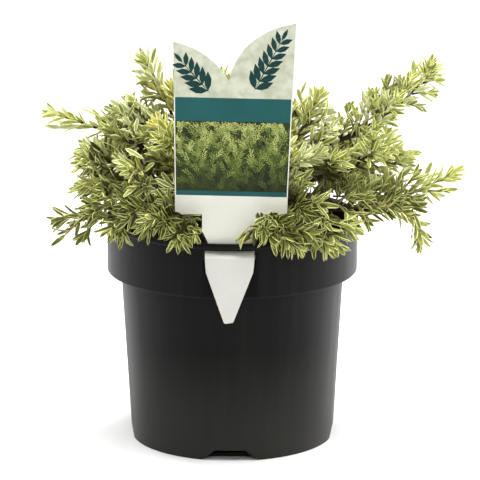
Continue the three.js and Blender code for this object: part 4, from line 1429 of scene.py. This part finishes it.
    def add_whorl(self, limb, share, count, turn, tilt, length, tone):
        """Adds the leaves of a whorl that have room, and says if there are any."""
        root, along = limb.point(share), limb.along(share)
        before = len(self.leaves)
        core = CORE_REACH * mix(*CORE_EDGE, self.random())
        if (root - CORE).length < core or in_hollow(root):
            return False
        side, lift = across_limb(along)
        for k in range(count):
            angle = math.radians(turn + k * 360 / count + mix(*WHORL_WOBBLE, self.random()))
            outward = side * math.cos(angle) + lift * math.sin(angle)
            heading = lean_out(along, outward, tilt + mix(*LEAN_WOBBLE, self.random()))
            reach = length * mix(*LEAF_LENGTH_SHARES, self.random())
            curl = mix(*LEAF_CURLS, self.random())
            twist = mix(*LEAF_TWISTS, self.random())
            width = along.cross(outward).normalized()
            face = heading.cross(width).normalized()
            turned = width * math.cos(twist) + face * math.sin(twist)
            face = face * math.cos(twist) - width * math.sin(twist)
            end = root + heading * reach
            held = self.free or self.holds(end, LEAF_MARGIN)
            if held and is_clear(root, end) and not hides_label(end):
                self.leaves.append((root, heading, turned, face, reach, curl, TONE_NAMES.index(tone)))
        return len(self.leaves) > before


def hides_label(point):
    """True in front of the label's head, or of the left of its neck, which nothing covers."""
    x, y, z = point / MM
    if y > VIEW_FRONT or abs(x) > VIEW_HALF:
        return False
    clear_to = NECK_SHOWN[1] if z > NECK_WIDENS else NECK_SHOWN[0]
    return z > HEAD_SHOWN[x >= 0] or NECK_LEFT < x < clear_to and z > NECK_FOOT


def in_hollow(point):
    """True in a gap of the crown: a bore towards the front, a little upward."""
    for middle, radius in HOLLOWS:
        way = point - middle
        deep = way.dot(HOLLOW_WAY)
        if deep > -HOLLOW_BACK and (way - HOLLOW_WAY * deep).length < radius:
            return True
    return False


def leaf_shape():
    """One leaf's corners as shares along, across and up, with 1 where they are on the underside,
    and its faces with their colour: 0 the centre, 1 the pale edge and 2 the underside."""
    corners = [(0, 0, 0, 0)]
    for along, half in LEAF_STATIONS:
        corners += [(along, line * half, abs(line) * half * LEAF_FOLD, 0) for line in LEAF_LINES]
        corners += [(along, line * half, abs(line) * half * LEAF_FOLD, 1) for line in LEAF_UNDER_LINES]
    corners.append((1, 0, 0, 0))
    row = len(LEAF_LINES) + len(LEAF_UNDER_LINES)
    last = len(corners) - 1
    ring = [0, 1, 2, 3, 4, 6, 5]
    colours = [1, 0, 0, 1, 1, 2, 1]
    faces = []
    for k, colour in enumerate(colours):
        near, far = ring[k], ring[(k + 1) % row]
        faces.append(((0, 1 + near, 1 + far), colour))
        for i in range(len(LEAF_STATIONS) - 1):
            a, b = 1 + i * row, 1 + (i + 1) * row
            faces.append(((a + near, b + near, b + far, a + far), colour))
        a = 1 + (len(LEAF_STATIONS) - 1) * row
        faces.append(((a + near, last, a + far), colour))
    return np.array(corners), faces


def make_leaves(name, masses):
    """All leaves of some masses, joined into one piece from arrays."""
    leaves = [leaf for mass in masses for leaf in mass.leaves]
    corners, shape = leaf_shape()
    root, heading, width, face = (np.array([leaf[k] for leaf in leaves]) for k in range(4))
    reach, curl = (np.array([leaf[k] for leaf in leaves])[:, None] for k in (4, 5))
    along, across, rise, under = (column[None] for column in corners.T)
    breadth = LEAF_WIDTH / 2 * (0.55 + 0.45 * reach / STEM_LEAF_LENGTH)
    upward = rise * breadth - under * LEAF_THICKNESS + curl * reach * along**2
    points = root[:, None] + (along * reach)[..., None] * heading[:, None]
    points = points + (across * breadth)[..., None] * width[:, None] + upward[..., None] * face[:, None]
    faces, slots = [], []
    for i, leaf in enumerate(leaves):
        start = i * len(corners)
        for corners_of_face, colour in shape:
            faces.append([start + k for k in corners_of_face])
            slots.append(leaf[6] * 3 + colour)
    piece = from_arrays(name, points.reshape(-1, 3).tolist(), faces, slots, LEAF_FINISHES)
    smooth(piece, 50)
    place(piece, "foliage", *[f"foliage_{mass.name}" for mass in masses])


def make_twigs(masses):
    """The stems, twigs and shoots of all masses, joined, brown low down and green further on."""
    points, faces, slots = [], [], []
    for mass in masses:
        for limb, radii, rings in mass.limbs:
            before = len(faces)
            tube(limb, radii, rings, points, faces)
            added = len(faces) - before
            brown = {STEM_RADII: 0.7, TWIG_RADII: 0.25, BARE_RADII: 1}.get(radii, 0)
            slots += [0 if k < added * brown else 1 for k in range(added)]
    twigs = from_arrays("twigs", points, faces, slots, ("bark", "green_bark"))
    smooth(twigs, 60)
    place(twigs, "bark", *[f"foliage_{mass.name}" for mass in masses])


def make_foliage():
    """Six pieces of leaves by the side of the plant that they stand on, and one of twigs."""
    masses = [Mass(name, i) for i, name in enumerate(MASSES)]
    for mass in masses:
        mass.grow()
    sides = ["right", "back_right", "back_left", "left", "front_left", "front_right"]
    for i, side in enumerate(sides):
        grown = [mass for mass in masses if mass.sector() == i]
        make_leaves(f"leaves_{side}", grown)
    make_twigs(masses)


# Studio


def lift_far_floor(material):
    """The floor beyond the soft boxes glows faintly, so that it stays as pale as the near floor."""
    nodes = material.node_tree.nodes
    surface = nodes["Principled BSDF"]
    set_inputs(surface, Emission_Color=(1, 1, 1, 1))
    place_on_floor = add_node(nodes, "TexCoord")
    reach = add_node(nodes, "VectorMath", operation="LENGTH")
    glow = add_node(nodes, "MapRange", From_Min=1.2, From_Max=2.6)
    join(
        material.node_tree.links,
        (place_on_floor, "Object", reach, 0),
        (reach, "Value", glow, "Value"),
        (glow, "Result", surface, "Emission Strength"),
    )


def make_studio():
    """A plain pale floor, soft boxes above, in front, beside and behind, and a faint surround."""
    deselect_all()
    bpy.ops.mesh.primitive_plane_add(size=FLOOR_SIZE)
    floor = bpy.context.active_object
    floor.name = "floor"
    pale = bpy.data.materials.new("pale_floor")
    pale.use_nodes = True
    surface = pale.node_tree.nodes["Principled BSDF"]
    set_inputs(surface, Base_Color=(0.9, 0.9, 0.9, 1), Roughness=0.9)
    lift_far_floor(pale)
    floor.data.materials.append(pale)
    for name, (spot, size, power) in LIGHTS.items():
        lamp = bpy.data.lights.new(name, "AREA")
        lamp.shape = "RECTANGLE"
        lamp.size, lamp.size_y = size
        lamp.energy = power
        holder = bpy.data.objects.new(name, lamp)
        holder.location = spot
        holder.rotation_euler = (LIGHTS_AIM - Vector(spot)).to_track_quat("-Z", "Y").to_euler()
        bpy.context.scene.collection.objects.link(holder)
    world = bpy.data.worlds.new("surround")
    world.use_nodes = True
    set_inputs(world.node_tree.nodes["Background"], Color=(1, 1, 1, 1), Strength=SURROUND)
    bpy.context.scene.world = world
    bpy.context.scene.view_settings.view_transform = "Standard"


def make_camera():
    lens = bpy.data.cameras.new("camera")
    lens.lens = CAMERA_LENS
    lens.sensor_width = SENSOR
    camera = bpy.data.objects.new("camera", lens)
    tilt = math.radians(CAMERA_ELEVATION)
    back = Vector((0, -math.cos(tilt), math.sin(tilt)))
    camera.location = CAMERA_TARGET + back * CAMERA_DISTANCE
    camera.rotation_euler = (math.pi / 2 - tilt, 0, 0)
    bpy.context.scene.collection.objects.link(camera)
    bpy.context.scene.camera = camera


make_camera()
make_studio()
make_pot()
make_mix()
make_label()
make_main_stem()
for bough_name in BOUGHS:
    make_bough(bough_name)
make_foliage()
